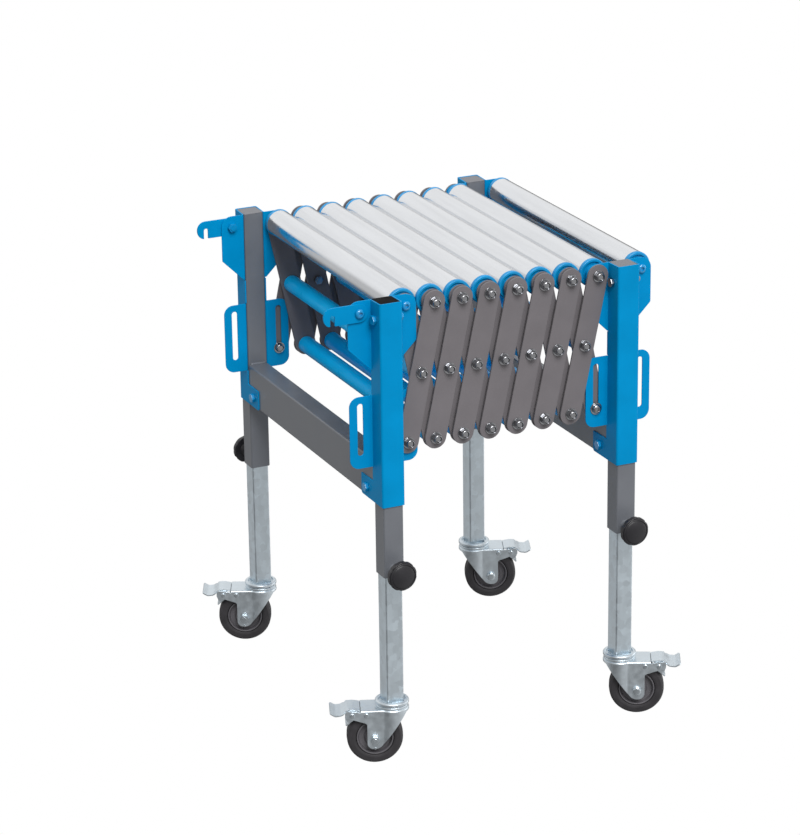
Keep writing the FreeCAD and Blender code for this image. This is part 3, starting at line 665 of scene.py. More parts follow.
def joint_bolt(tip, seat, turn):
    """A pivot bolt along Y with a lock nut outwards and its end inside the nut's collar."""
    pin = size("pin_radius")
    top = seat + size("lock_nut_height")
    bolt_end = top - COLLAR_DEPTH
    shank = turned([(0, tip), (pin, tip), (pin, bolt_end, 0.6), (0, bolt_end)])
    return gather(shank, lock_nut(seat, washer=1.6, top=top, turn=turn))


def cross_bolt(half_grip):
    """A bolt along X with a hex head on the left and a hex nut on the right."""
    pin = size("pin_radius")
    nut_top = half_grip + size("nut_height")
    bolt_end = nut_top + 2
    head = hexagon(-half_grip - size("head_height"), -half_grip)
    nut = hexagon(half_grip, nut_top)
    shank = turned([(0, -half_grip), (pin, -half_grip), (pin, bolt_end, 0.8), (0, bolt_end)])
    return moved(gather(head, nut, shank), LAY)


# End frames

def square_tube(side, depth, start, end):
    """A square or rectangular tube along Z with rounded corners."""
    bm = level_rectangle(side, depth, start, size("tube_corner"))
    bmesh.ops.inset_region(bm, faces=bm.faces[:], thickness=size("post_wall"), use_boundary=True,
                           use_even_offset=True)
    middle = min(bm.faces, key=lambda face: face.calc_center_median().xy.length)
    bmesh.ops.delete(bm, geom=[middle], context="FACES_ONLY")
    thicken(bm, UP * (end - start))
    return ease(bm, 0.3)


def weld_bead(long, radius):
    """A rippled fillet of weld along X, whose back sinks into what it joins."""
    rings = 24
    ripple_pitch = 3.2
    steps = [-long / 2 + long * k / rings for k in range(1, rings)]
    bm = turned([(0, -long / 2)] + [(radius, y) for y in steps] + [(0, long / 2)], steps=14)
    for vert in bm.verts:
        ripple = 1 + 0.1 * math.cos(vert.co.y * 2 * math.pi / ripple_pitch)
        vert.co.x *= ripple
        vert.co.z *= ripple
    return moved(bm, LAY)


class CONVEYOR_OT_post_frames(bpy.types.Operator):
    """Posts, cross tube and clamp nuts of each end frame, welded together, and the plugs in the posts"""
    bl_idname = "conveyor.post_frames"
    bl_label = "Post Frames"

    def execute(self, context):
        side = size("post_side")
        cross_height = size("cross_height")
        post_face = CHANNEL_FACE - size("sheet")
        inner_face = post_face - side
        plug_lip, plug_side, plug_corner = 1.5, side - 0.2, 2.4
        post_top = PLUG_TOP - plug_lip
        nut_bore, nut_radius, nut_top = 4.2, 8.0, post_face + 8
        weld_foot, weld_top = 8.6, post_face + 1.2
        bead_length, bead_radius = side - 6, 2.2
        for end in ENDS:
            body = end + "_frame"
            parts = []
            for tag in SIDES:
                parts.append(moved(square_tube(side, side, POST_BOTTOM, post_top), POST_PLACES[end, tag]))
                nut = turned([(nut_bore, post_face), (weld_foot, post_face), (nut_radius, weld_top, 0.8),
                              (nut_radius, nut_top, 1.0), (nut_bore, nut_top)])
                knob = joint_at("clamp_knob_%s_%s" % (end, tag))
                parts.append(moved(on_side(nut, tag), knob * SIDE_VIEW))
            middle = Vector((POST_PLACES[end, "far"].x, 0, CHANNEL_BOTTOM + cross_height / 2))
            cross_tube = square_tube(side, cross_height, -inner_face, inner_face)
            parts.append(moved(cross_tube, axes(middle, ALONG, UP)))
            for edge in (-1, 1):
                # The bead lies in the corner between the post's face and the tube's top or bottom
                seam = Vector((0, inner_face - 0.6, edge * (cross_height / 2 + 0.4)))
                parts.append(both_sides(moved(weld_bead(bead_length, bead_radius), middle + seam)))
            add_piece(end + "_posts", gather(*parts), grey_powder_coat, body,
                      [end + "_post_frame"])
            for tag in SIDES:
                plug = level_rectangle(plug_side, plug_side, post_top, plug_corner)
                ease(thicken(plug, UP * plug_lip), 0.6, segments=3)
                black = end == "left" and tag == "near"
                add_piece("%s_%s_plug" % (end, tag), moved(plug, POST_PLACES[end, tag]),
                          black_plug_plastic if black else grey_plug_plastic,
                          body)
        return {"FINISHED"}


class ChannelFold:
    """The flat pattern of a side channel and the bends that fold it round a post.

    Distances along the pattern start at its middle: half the web, the bend into the flange, the flange,
    and where the pattern has a tab or an ear, the bend into it and its own width.
    """
    reach = 51.0                      # from the post's middle to the tip of a tab or ear
    tab_bend = 1.5                    # radius of the bend into a tab or ear
    ear_low = 616.0                   # height of the ear's outer low corner
    ear_round = 16.0
    slot_tab = (442.0, 546.0, 14.0)   # low edge, high edge and corner radius
    slot = (35.0, 465.0, 532.0, 4.3)  # distance from the post's middle, lowest and highest pin, half width
    lower_ear = (185.0, 420.0, 4.0)   # y of its edge, top edge and corner radius
    slit = 0.6                        # relief cut at each end of a bend

    def __init__(self):
        self.bend = size("bend")
        self.half = size("post_side") / 2 + size("sheet")
        self.tab_face = tab_outside()
        self.web = self.half - self.bend
        self.flange = self.web + self.bend * math.pi / 2
        self.tab_start = self.flange + (CHANNEL_FACE - self.bend) - (self.tab_face + self.tab_bend)
        self.tab = self.tab_start + self.tab_bend * math.pi / 2
        self.edge = self.flange + CHANNEL_FACE - self.bend - self.tab_face + size("sheet")
        self.tip = self.tab + self.reach - self.half - self.tab_bend
        self.low_tip = self.flange + CHANNEL_FACE - self.bend - self.lower_ear[0]
        self.root = self.ear_low - (self.reach - self.half)

    def outline(self):
        """Right half of the flat pattern, from the bottom middle up to the top middle."""
        start = self.tab_start
        tab_low, tab_high, corner = self.slot_tab
        below, above, under_ear = tab_low - self.slit, tab_high + self.slit, self.root - self.slit
        ear_top = CHANNEL_TOP - 1
        return [(0, CHANNEL_BOTTOM), (self.low_tip, CHANNEL_BOTTOM, self.lower_ear[2]),
                (self.low_tip, self.lower_ear[1]), (self.edge, self.lower_ear[1], 1.0),
                (self.edge, below), (start, below), (start, tab_low),
                (self.tip, tab_low, corner), (self.tip, tab_high, corner),
                (start, tab_high), (start, above), (self.edge, above),
                (self.edge, under_ear), (start, under_ear), (start, self.root),
                (self.tab, self.root + self.tab_bend), (self.tip, self.ear_low, 3.0),
                (self.tip, ear_top, self.ear_round), (self.tab, ear_top), (self.flange, CHANNEL_TOP)]

    def pattern(self):
        """The whole flat pattern, in side view, with its two slots."""
        right = self.outline()
        left = [(-x, *rest) for x, *rest in reversed(right[1:])]
        sheet = rounded_face([(x, 0, *rest) for x, *rest in right + left], segments=8)
        offset, lowest, highest, radius = self.slot
        at = self.tab + offset - self.half - self.tab_bend
        slots = [side_rectangle(way * at - radius, way * at + radius, lowest - radius, highest + radius,
                                radius - END_FLAT, 8) for way in (-1, 1)]
        return cut_holes(sheet, slots)

    def stops(self):
        """Distances along the pattern where the bends are divided."""
        return ([self.web + (self.flange - self.web) * k / 6 for k in range(7)]
                + [self.tab_start + (self.tab - self.tab_start) * k / 4 for k in range(5)])

    def folded(self, along, z):
        """Where a point of the flat pattern ends up on the folded sheet."""
        a = abs(along)
        tab_low, tab_high, _ = self.slot_tab
        half_slit = self.slit / 2
        bent = tab_low - half_slit < z < tab_high + half_slit or z > self.root - half_slit
        if a <= self.web:
            x, y = a, CHANNEL_FACE
        elif a <= self.flange:
            turn = (a - self.web) / self.bend
            x = self.web + self.bend * math.sin(turn)
            y = CHANNEL_FACE - self.bend * (1 - math.cos(turn))
        elif a <= self.tab_start or not bent:
            x, y = self.half, CHANNEL_FACE - self.bend - (a - self.flange)
        elif a <= self.tab:
            turn = (a - self.tab_start) / self.tab_bend
            x = self.half + self.tab_bend * (1 - math.cos(turn))
            y = self.tab_face + self.tab_bend * (1 - math.sin(turn))
        else:
            x, y = self.half + self.tab_bend + a - self.tab, self.tab_face
        return Vector((math.copysign(x, along), y, z))


class CONVEYOR_OT_channels(bpy.types.Operator):
    """Side channels: slotted flat patterns, folded round the posts"""
    bl_idname = "conveyor.channels"
    bl_label = "Side Channels"

    def execute(self, context):
        fold = ChannelFold()
        sheet = fold.pattern()
        for stop in fold.stops():
            for way in (-1, 1):
                bmesh.ops.bisect_plane(sheet, geom=sheet.verts[:] + sheet.edges[:] + sheet.faces[:],
                                       dist=1e-4, plane_co=(way * stop, 0, 0), plane_no=ALONG)
        for vert in sheet.verts:
            vert.co = fold.folded(vert.co.x, vert.co.z)
        face_out(sheet, ACROSS)
        bmesh.ops.solidify(sheet, geom=sheet.faces[:], thickness=size("sheet"))
        ease(sheet, 0.35)
        for end, side in TAGS:
            name = "%s_%s_channel" % (end, side)
            shape = moved(on_side(sheet.copy(), side), ALONG * POST_PLACES[end, side].x)
            add_piece(name + "_sheet", shape, blue_powder_coat, end + "_frame", [name])
        sheet.free()
        return {"FINISHED"}


class CONVEYOR_OT_frame_bolts(bpy.types.Operator):
    """Bolts of the end frames: painted over, apart from the bare upper ones on the right frame"""
    bl_idname = "conveyor.frame_bolts"
    bl_label = "Frame Bolts"

    def execute(self, context):
        half_grip = size("post_side") / 2 + size("sheet")
        nut = size("nut_height")
        inside = tab_inside()
        outside = tab_outside()
        # Where the bolts through a post and through a lower ear run, as (y, z)
        post_bolt = (inside + size("post_side") / 2, 658)
        ear_bolt = (204, 405)
        for end in ENDS:
            left = end == "left"
            x = POST_PLACES[end, "near"].x
            upper, lower = (both_sides(moved(cross_bolt(half_grip), Vector((x, y, z))))
                            for y, z in (post_bolt, ear_bolt))
            pin = ROLLER_PINS[0 if left else -1] * SIDE_VIEW
            sleeve_end = INNER_FACE - size("link_thick") - RUNNING_GAP if left else inside
            sleeve = ring(hole_radius(), size("sleeve_radius"), ROLLER_END + RUNNING_GAP, sleeve_end)
            painted = [lower, moved(both_sides(dome_bolt(0, outside)), pin)]
            bare = [moved(both_sides(sleeve), pin)]
            if left:
                seat = outside + size("link_thick") + 2 * RUNNING_GAP
                hook_bolt = gather(dome_bolt(inside - nut - NUT_TAIL, seat), hexagon(inside - nut, inside))
                painted.append(moved(both_sides(hook_bolt), joint_at("hook_pivot_near") * SIDE_VIEW))
                painted.append(upper)
            else:
                bare.append(upper)
            body = end + "_frame"
            add_piece(end + "_painted_bolts", gather(*painted), painted_fixing, body,
                      [end + "_frame_bolts"])
            add_piece(end + "_bare_bolts", gather(*bare), bright_fixing, body)
        return {"FINISHED"}


# Scissor

def pierced_plate(outline, holes):
    """A flat plate across Y with bolt holes at places along it."""
    discs = [disc(hole_radius(), 20, (along, 0, 0)) for along in holes]
    return ease(thicken(cut_holes(outline, discs), ACROSS * size("link_thick")), 0.45)


def link_plate(start, end, y0):
    """A link with full-round ends and three holes, from one pin to another."""
    half = size("link_width") / 2
    run = end - start
    outline = side_rectangle(-half, run.length + half, -half, half, half - END_FLAT, 14)
    plate = pierced_plate(outline, (0, run.length / 2, run.length))
    return moved(plate, axes(Vector((start.x, y0, start.z)), run.normalized(), ACROSS))


class CONVEYOR_OT_inner_links(bpy.types.Operator):
    """Inner link plates with the tie tubes between the near and far ones, and the last pair's slot bolts"""
    bl_idname = "conveyor.inner_links"
    bl_label = "Inner Links"

    def execute(self, context):
        inner = INNER_FACE - size("link_thick")
        bore = hole_radius()
        radius = size("tie_radius")
        recess = 2
        mouth = radius - recess
        for i in range(1, UNITS + 1):
            body = "inner_link_pair_%d" % i
            plates = both_sides(link_plate(TOP_PINS[i - 1], BOTTOM_PINS[i], inner))
            add_piece("inner_link_plates_%d" % i, plates, link_powder_coat, body,
                      ["inner_links_%d" % i])
            tied = [MIDDLE_PINS[i - 1]] if i % 2 else []
            tied += [BOTTOM_PINS[i]] if i < UNITS else []
            ties = []
            for pin in tied:
                tube = turned([(bore, recess - inner), (mouth, -inner), (radius, -inner, 0.8),
                               (radius, inner, 0.8), (mouth, inner), (bore, inner - recess)], steps=36)
                ties.append(moved(tube, pin * SIDE_VIEW))
            if ties:
                add_piece("tie_tubes_%d" % i, gather(*ties), tie_painted_light_coat, body)
        nut = size("nut_height")
        washer_radius, washer_thick = 9, 1.2
        washer = tab_outside() + RUNNING_GAP
        seat = washer + washer_thick
        bolts = gather(dome_bolt(inner - nut - NUT_TAIL, seat), ring(bore, washer_radius, washer, seat),
                       hexagon(inner - nut, inner))
        add_piece("right_slot_bolts", moved(both_sides(bolts), BOTTOM_PINS[UNITS] * SIDE_VIEW), bright_fixing,
                  "inner_link_pair_%d" % UNITS)
        return {"FINISHED"}


class CONVEYOR_OT_outer_links(bpy.types.Operator):
    """Outer link plates"""
    bl_idname = "conveyor.outer_links"
    bl_label = "Outer Links"

    def execute(self, context):
        for i in range(1, UNITS + 1):
            plates = both_sides(link_plate(BOTTOM_PINS[i - 1], TOP_PINS[i], OUTER_FACE - size("link_thick")))
            add_piece("outer_link_plates_%d" % i, plates, link_powder_coat,
                      "outer_link_pair_%d" % i, ["outer_links_%d" % i])
        return {"FINISHED"}


class CONVEYOR_OT_pivot_bolts(bpy.types.Operator):
    """Axles, bolts, spacers and nuts at the scissor joints"""
    bl_idname = "conveyor.pivot_bolts"
    bl_label = "Pivot Bolts"

    def execute(self, context):
        inner = INNER_FACE - size("link_thick")
        outer = OUTER_FACE - size("link_thick")
        inside = tab_inside() - RUNNING_GAP
        nut = size("nut_height")
        in_tie = 16         # length of bolt inside a tie tube
        for i in range(1, UNITS + 1):
            last = i == UNITS
            tied = i % 2
            play = RUNNING_GAP if i == MIDDLE_JOINT else 0
            top_turn, middle_turn, bottom_turn = (math.radians(37 * i + 23 * k) for k in range(3))
            top = [joint_bolt(0, OUTER_FACE + play, top_turn),
                   ring(hole_radius(), size("sleeve_radius"), ROLLER_END + RUNNING_GAP,
                        inside if last else inner - RUNNING_GAP)]
            if not last:
                top.append(self.spacer(outer - play))
            tip = inner - (in_tie if tied else RUNNING_GAP + nut)
            middle = [joint_bolt(tip - NUT_TAIL, OUTER_FACE, middle_turn), self.spacer(outer)]
            if not tied:
                middle.append(hexagon(tip, inner - RUNNING_GAP))
            if i > 1:
                bottom = [joint_bolt(inner - in_tie, OUTER_FACE, bottom_turn), self.spacer(outer)]
            else:
                bottom = [joint_bolt(inside - nut + COLLAR_DEPTH, OUTER_FACE, bottom_turn),
                          mirrored(lock_nut(-inside, washer=1.0, top=nut - inside, turn=middle_turn))]
            top, middle, bottom = (moved(both_sides(gather(*parts)), pin * SIDE_VIEW) for parts, pin in (
                (top, TOP_PINS[i]), (middle, MIDDLE_PINS[i - 1]), (bottom, BOTTOM_PINS[i - 1])))
            parts, nodes = [top, middle, bottom], ["pivot_bolts_%d" % i]
            if i == MIDDLE_JOINT:
                add_piece("middle_axle_rod", top, bright_fixing, "middle_axle",
                          ["middle_axle"])
                parts, nodes = [middle, bottom], []
            add_piece("joint_bolts_%d" % i, gather(*parts), bright_fixing,
                      "outer_link_pair_%d" % i, nodes)
        return {"FINISHED"}

    def spacer(self, end):
        """A spacer that fills the space between an inner and an outer link."""
        return ring(hole_radius(), size("spacer_radius"), INNER_FACE + RUNNING_GAP, end)


class CONVEYOR_OT_rollers(bpy.types.Operator):
    """Roller tubes with their moulded end caps"""
    bl_idname = "conveyor.rollers"
    bl_label = "Rollers"

    def execute(self, context):
        bore = hole_radius()
        radius = size("roller_radius")
        inside = radius - size("roller_wall")
        rim = size("cap_radius")
        tube_end = ROLLER_END - size("cap_rim")
        plug_end = tube_end - 14
        groove = ROLLER_END - 2.5
        for i, pin in enumerate(ROLLER_PINS, 1):
            body = "roller_%d" % i
            tube = turned([(inside, -tube_end), (radius, -tube_end, 0.7), (radius, tube_end, 0.7),
                           (inside, tube_end)], steps=64)
            add_piece("roller_tube_%d" % i, moved(tube, pin * SIDE_VIEW), plated_roller_tube,
                      body, [body])
            cap = turned([(bore, plug_end), (inside, plug_end), (inside, tube_end), (rim, tube_end, 0.5),
                          (rim, ROLLER_END, 1.6), (rim - 4, ROLLER_END, 0.6), (rim - 5.5, groove),
                          (11, groove), (9.8, ROLLER_END, 0.5), (bore, ROLLER_END)], steps=64)
            add_piece("roller_caps_%d" % i, moved(both_sides(cap), pin * SIDE_VIEW), blue_cap_plastic,
                      body)
        return {"FINISHED"}


# Legs and knobs

class CONVEYOR_OT_legs(bpy.types.Operator):
    """Galvanised inner legs, each with the swivel cup riveted to its foot"""
    bl_idname = "conveyor.legs"
    bl_label = "Legs"

    def execute(self, context):
        side = size("leg_side")
        cup_low = 89.4
        cup_floor = 92.6
        leg_bottom = 92.0
        rivet_low = 79.7
        rivet_neck = 82.2
        rivet_top = 89.5
        for end, tag in TAGS:
            name = "leg_%s_%s" % (end, tag)
            place = POST_PLACES[end, tag]
            tube = square_tube(side, side, leg_bottom, LEG_TOP)
            add_piece(name + "_tube", moved(tube, place), galvanised_tube, name, [name])
            cup = turned([(0, cup_low), (22.4, cup_low), (24, 90.6, 0.8), (24, 93.8, 1.6), (21.8, 95.4, 0.9),
                          (19.4, 95.2, 0.6), (18.7, cup_floor), (0, cup_floor)], steps=48)
            rivet = turned([(0, rivet_low), (8, rivet_low, 0.8), (8, rivet_neck), (5, rivet_neck),
                            (5, rivet_top), (0, rivet_top)])
            foot = moved(gather(cup, rivet), STAND)
            add_piece(name + "_swivel_cup", moved(foot, place), plated_pressing, name)
        return {"FINISHED"}


class CONVEYOR_OT_clamp_knobs(bpy.types.Operator):
    """Fluted clamp knobs with their collars and threaded studs"""
    bl_idname = "conveyor.clamp_knobs"
    bl_label = "Clamp Knobs"

    def execute(self, context):
        flutes = 10
        flute_depth = 0.035
        radius = size("knob_radius")
        pin = size("pin_radius")
        back = KNOB_FRONT - size("knob_thick")
        skirt = KNOB_FRONT - 12.5
        front = KNOB_FRONT - 5.0
        brim = radius - 1.4
        rim = brim - 3.2
        bulge = 3.0
        dome_edge = KNOB_FRONT - bulge
        collar_end = back - 5.5
        stud_start = CHANNEL_FACE - size("sheet")
        half_pitch = 0.5
        for end, tag in TAGS:
            name = "clamp_knob_%s_%s" % (end, tag)
            place = joint_at(name) * SIDE_VIEW
            grip = disc(radius, flutes * 10, (0, skirt, 0))
            for vert in grip.verts:
                dip = max(0.0, math.cos(math.atan2(vert.co.z, vert.co.x) * flutes)) ** 1.5
                vert.co.x *= 1 - flute_depth * dip
                vert.co.z *= 1 - flute_depth * dip
            thicken(grip, ACROSS * (front - skirt))
            ease(grip, 1.3, segments=3)
            dome = [(rim * r / 8, KNOB_FRONT - bulge * (r / 8) ** 2) for r in range(8, -1, -1)]
            crown = turned([(0, front - 1.0), (brim - 1.2, front - 1.0), (brim - 1.2, front + 0.4),
                            (brim, front + 0.9, 0.4), (brim, dome_edge - 0.6, 0.7),
                            (rim + 1.3, dome_edge + 0.3, 0.4), (rim + 0.7, dome_edge - 0.7)] + dome, steps=60)
            collar = turned([(0, collar_end), (6.6, collar_end, 0.6), (7.6, back), (9.5, back + 3.0, 2.0),
                             (12.5, skirt + 0.2), (0, skirt + 0.2)], steps=40)
            shape = on_side(gather(grip, crown, collar), tag)
            add_piece(name + "_grip", moved(shape, place), black_knob_plastic, name, [name])
            thread = [(pin - 0.5 * (k % 2), stud_start - 1.2 + half_pitch * k)
                      for k in range(2 * int(collar_end - stud_start) + 2)]
            stud = turned([(0, thread[0][1])] + thread + [(0, thread[-1][1])], steps=20)
            add_piece(name + "_stud", moved(on_side(stud, tag), place), bright_fixing, name)
        return {"FINISHED"}


# Casters, drawn with the swivel axis on Z and the wheel trailing along +X

def caster_place(end, tag):
    """The matrix that puts a caster under its leg, turned as it stands there."""
    swivel = joint_at("caster_swivel_%s_%s" % (end, tag))
    trail = (joint_at("wheel_spin_%s_%s" % (end, tag)) - swivel) * PLAN
    trail.normalize()
    return axes(swivel * PLAN, trail, UP.cross(trail))


def wheel_axle():
    """Where the wheel's axle is."""
    return Vector((size("wheel_trail"), 0, size("wheel_radius")))


def fork_shell():
    """A pressed fork: a round crown that runs into two flat arms, under one flat top."""
    half = size("fork_half")
    crown = 24.0
    top = 85.0
    lip = 80.0
    plate_end = 45.0
    plate_middle = 15.0
    arm_end = 67.0
    arm_back = 36.2
    foot_x, foot_z = 18.6, 25.8
    slope = -1.4
    meet = math.sqrt(crown ** 2 - half ** 2)
    start = math.atan2(half, meet)
    bm = bmesh.new()
    seed = bm.verts.new((meet, half, top))
    bmesh.ops.spin(bm, geom=[seed], cent=(0, 0, top), axis=UP, angle=2 * (math.pi - start), steps=28)
    grown = bmesh.ops.extrude_edge_only(bm, edges=bm.edges[:])
    for vert in new_verts(grown):
        vert.co.z = min(lip, foot_z + slope * (vert.co.x - foot_x))
    side = [(meet, foot_z + slope * (meet - foot_x)), (foot_x, foot_z, 12.0), (arm_back, foot_z, 9.0),
            (arm_back, 64.8, 4.0), (52.5, 70.4, 12.0), (arm_end, 74.0, 4.0), (arm_end, top, 4.0),
            (plate_end, top), (meet, top)]
    arms = [rounded_face([(x, way * half, *rest) for x, *rest in side], segments=8) for way in (-1, 1)]
    bm = gather(bm, *arms)
    bmesh.ops.remove_doubles(bm, verts=bm.verts[:], dist=0.01)
    rim = [v for v in bm.verts if abs(v.co.z - top) < 0.01 and v.co.x < plate_end + 0.01]
    rim.sort(key=lambda v: math.atan2(v.co.y, v.co.x - plate_middle))
    bm.faces.new(rim)
    lid = face_out(bm, UP)
    bevel(bm, [e for e in lid.edges if len(e.link_faces) == 2], 2.6, 4)
    bmesh.ops.solidify(bm, geom=bm.faces[:], thickness=size("fork_sheet"))
    return ease(bm, 0.4)


def rivet_head(base, crest, height, corner, steps):
    """A low round head on the outside of a fork arm."""
    root = size("fork_half") - 0.3
    top = size("fork_half") + height
    return turned([(0, root), (base, root), (crest, top, corner), (0, top)], steps)


class CONVEYOR_OT_forks(bpy.types.Operator):
    """Pressed caster forks with their races, rivets, axle bolts and nuts"""
    bl_idname = "conveyor.forks"
    bl_label = "Caster Forks"

    def execute(self, context):
        half = size("fork_half")
        pin = size("pin_radius")
        head = size("head_radius")
        bolt_head = -half - 5
        bolt_end = half + 6.4
        race_bore, race_low, race_top = 5.1, 84.8, 89
        rivet_places = (Vector((37.0, 0, 77.8)), Vector((57.0, 0, 78.0)))
        stud_place = Vector((25.4, 0, 27.4))
        for end, tag in TAGS:
            place = caster_place(end, tag)
            race = turned([(race_bore, race_low), (22.4, race_low), (23, 86.2, 0.6), (23, 88.2, 1.0),
                           (21.6, race_top, 0.5), (race_bore, race_top)], steps=48)
            rivets = []
            for at in rivet_places:
                rivet = rivet_head(base=3.7, crest=3.6, height=1.5, corner=1.2, steps=24)
                rivets.append(moved(both_sides(rivet), at))
            if end == "left":
                stud = rivet_head(base=2.1, crest=2.0, height=1.0, corner=0.8, steps=20)
                rivets.append(moved(both_sides(stud), stud_place))
            body = "caster_%s_%s" % (end, tag)
            node = "fork_%s_%s" % (end, tag)
            shape = gather(fork_shell(), moved(race, STAND))
            add_piece(node + "_pressing", moved(shape, place), plated_pressing, body, [node])
            bolt = turned([(0, bolt_head), (head, bolt_head, 3.0), (head, -half), (pin, -half),
                           (pin, bolt_end, 0.6), (0, bolt_end)])
            nut = hexagon(half, half + size("nut_height"))
            fixings = gather(moved(gather(bolt, nut), wheel_axle()), *rivets)
            add_piece(node + "_fixings", moved(fixings, place), bright_caster_fixing, body)
        return {"FINISHED"}


def twin_profile(half):
    """A profile's far half, and its mirror image back to the start."""
    return half + [(radius, -y, *corner) for radius, y, *corner in reversed(half) if y]


class CONVEYOR_OT_wheels(bpy.types.Operator):
    """Caster wheels: rubber tyres on moulded hubs"""
    bl_idname = "conveyor.wheels"
    bl_label = "Wheels"

    def execute(self, context):
        seat = 26.0
        boss = 16.5
        web = 5.0
        tyre_profile = twin_profile([(seat, 0.0), (seat, 9.5, 0.6), (27.4, 12.4, 1.0), (30.5, 13.0, 1.5),
                                     (36.5, 12.6, 2.0), (39.6, 9.4, 2.5), (size("wheel_radius"), 0.0)])
        hub_profile = twin_profile([(seat, 0.0), (seat, 12.2, 0.9), (24.0, 12.2, 0.9), (22.8, web, 1.2),
                                    (15.5, web, 1.8), (12.5, boss, 0.8), (hole_radius(), boss)])
        for end, tag in TAGS:
            name = "wheel_%s_%s" % (end, tag)
            place = caster_place(end, tag) @ Matrix.Translation(wheel_axle())
            tyre = turned(tyre_profile, steps=72)
            add_piece(name + "_tyre", moved(tyre, place), tyre_rubber, name, [name])
            hub = turned(hub_profile, steps=64)
            add_piece(name + "_hub", moved(hub, place), hub_plastic, name)
        return {"FINISHED"}


def off_tyre(angle, gap):
    """The (x, z) at a gap from the tread, at an angle above level behind the wheel axle."""
    reach = size("wheel_radius") + gap
    rise = math.radians(angle)
    return size("wheel_trail") + reach * math.cos(rise), size("wheel_radius") + reach * math.sin(rise)


def side_plate(points, y0, y1):
    """A plate drawn in side view with (x, z) or (x, z, radius) corners."""
    bm = rounded_face([(x, y0, *rest) for x, *rest in points])
    thicken(bm, ACROSS * (y1 - y0))
    return ease(bm, 0.4)


class CONVEYOR_OT_brake_pedals(bpy.types.Operator):
    """Pressed brake pedals with their pivot ears and shoes"""
    bl_idname = "conveyor.brake_pedals"
    bl_label = "Brake Pedals"

    def execute(self, context):
        tip = 87.5
        flare = 69
        narrow = 16.6
        wide = 20.0
        ear_inside = 14.2
        shoe_half = 15
        tread = [(45.6, 85.1), (56.0, 86.9, 14.0), (63.0, 86.5, 8.0), (67.2, 83.6), (70.0, 81.6),
                 (72.5, 79.9, 6.0), (80.5, 79.0, 5.0), (tip, 83.4)]
        ear_side = [(49.0, 85.0), (62.0, 86.0), (65.5, 82.0), (66.3, 72.0, 6.0), (62.5, 65.5, 4.5),
                    (56.5, 68.0, 3.0), (52.0, 76.0, 4.0)]
        shoe_side = [off_tyre(42, 2.2), off_tyre(27, 4.6), off_tyre(27, 6.6), off_tyre(42, 4.2)]
        for end, tag in TAGS:
            name = "brake_pedal_%s_%s" % (end, tag)
            strip = bmesh.new()
            verts = chain(strip, [(x, -narrow, z) for x, z, *_ in tread])
            round_corners(strip, verts, tread, place=2, segments=6)
            grown = bmesh.ops.extrude_edge_only(strip, edges=strip.edges[:])
            bmesh.ops.translate(strip, vec=ACROSS * (2 * narrow), verts=new_verts(grown))
            for vert in strip.verts:
                if vert.co.x > flare:
                    vert.co.y *= wide / narrow
            bevel(strip, [v for v in strip.verts if v.co.x > tip - 0.1], 2.4, 5, affect="VERTICES")
            face_out(strip, UP)
            bmesh.ops.solidify(strip, geom=strip.faces[:], thickness=size("pedal_sheet"))
            ease(strip, 0.5)
            ear = side_plate(ear_side, ear_inside, narrow)
            shape = gather(strip, both_sides(ear), side_plate(shoe_side, -shoe_half, shoe_half))
            add_piece(name + "_pressing", moved(shape, caster_place(end, tag)), plated_pressing,
                      name, [name])
        return {"FINISHED"}


class CONVEYOR_OT_hooks(bpy.types.Operator):
    """Coupling hooks on the left frame's top ears"""
    bl_idname = "conveyor.hooks"
    bl_label = "Coupling Hooks"

    def execute(self, context):
        half = 13.0
        nose = -40.0 - half
        notch_x, notch_z, notch_half = -39.5, -1.0, 3.3
        notch_left = notch_x - notch_half
        notch_right = notch_x + notch_half
        notch_top = notch_z + notch_half
        end_round = half - END_FLAT
        notch_round = notch_half - END_FLAT
        for tag in SIDES:
            name = "hook_" + tag
            outline = rounded_face([(half, 0, -half, end_round), (half, 0, half, end_round),
                                    (nose, 0, half, end_round), (nose, 0, -half, end_round),
                                    (notch_left, 0, -half, 0.8), (notch_left, 0, notch_top, notch_round),
                                    (notch_right, 0, notch_top, notch_round), (notch_right, 0, -half, 0.8)],
                                   segments=10)
            plate = moved(pierced_plate(outline, (0,)), ACROSS * (tab_outside() + RUNNING_GAP))
            place = joint_at("hook_pivot_" + tag) * SIDE_VIEW
            add_piece(name + "_plate", moved(on_side(plate, tag), place), blue_powder_coat,
                      name, [name])
        return {"FINISHED"}


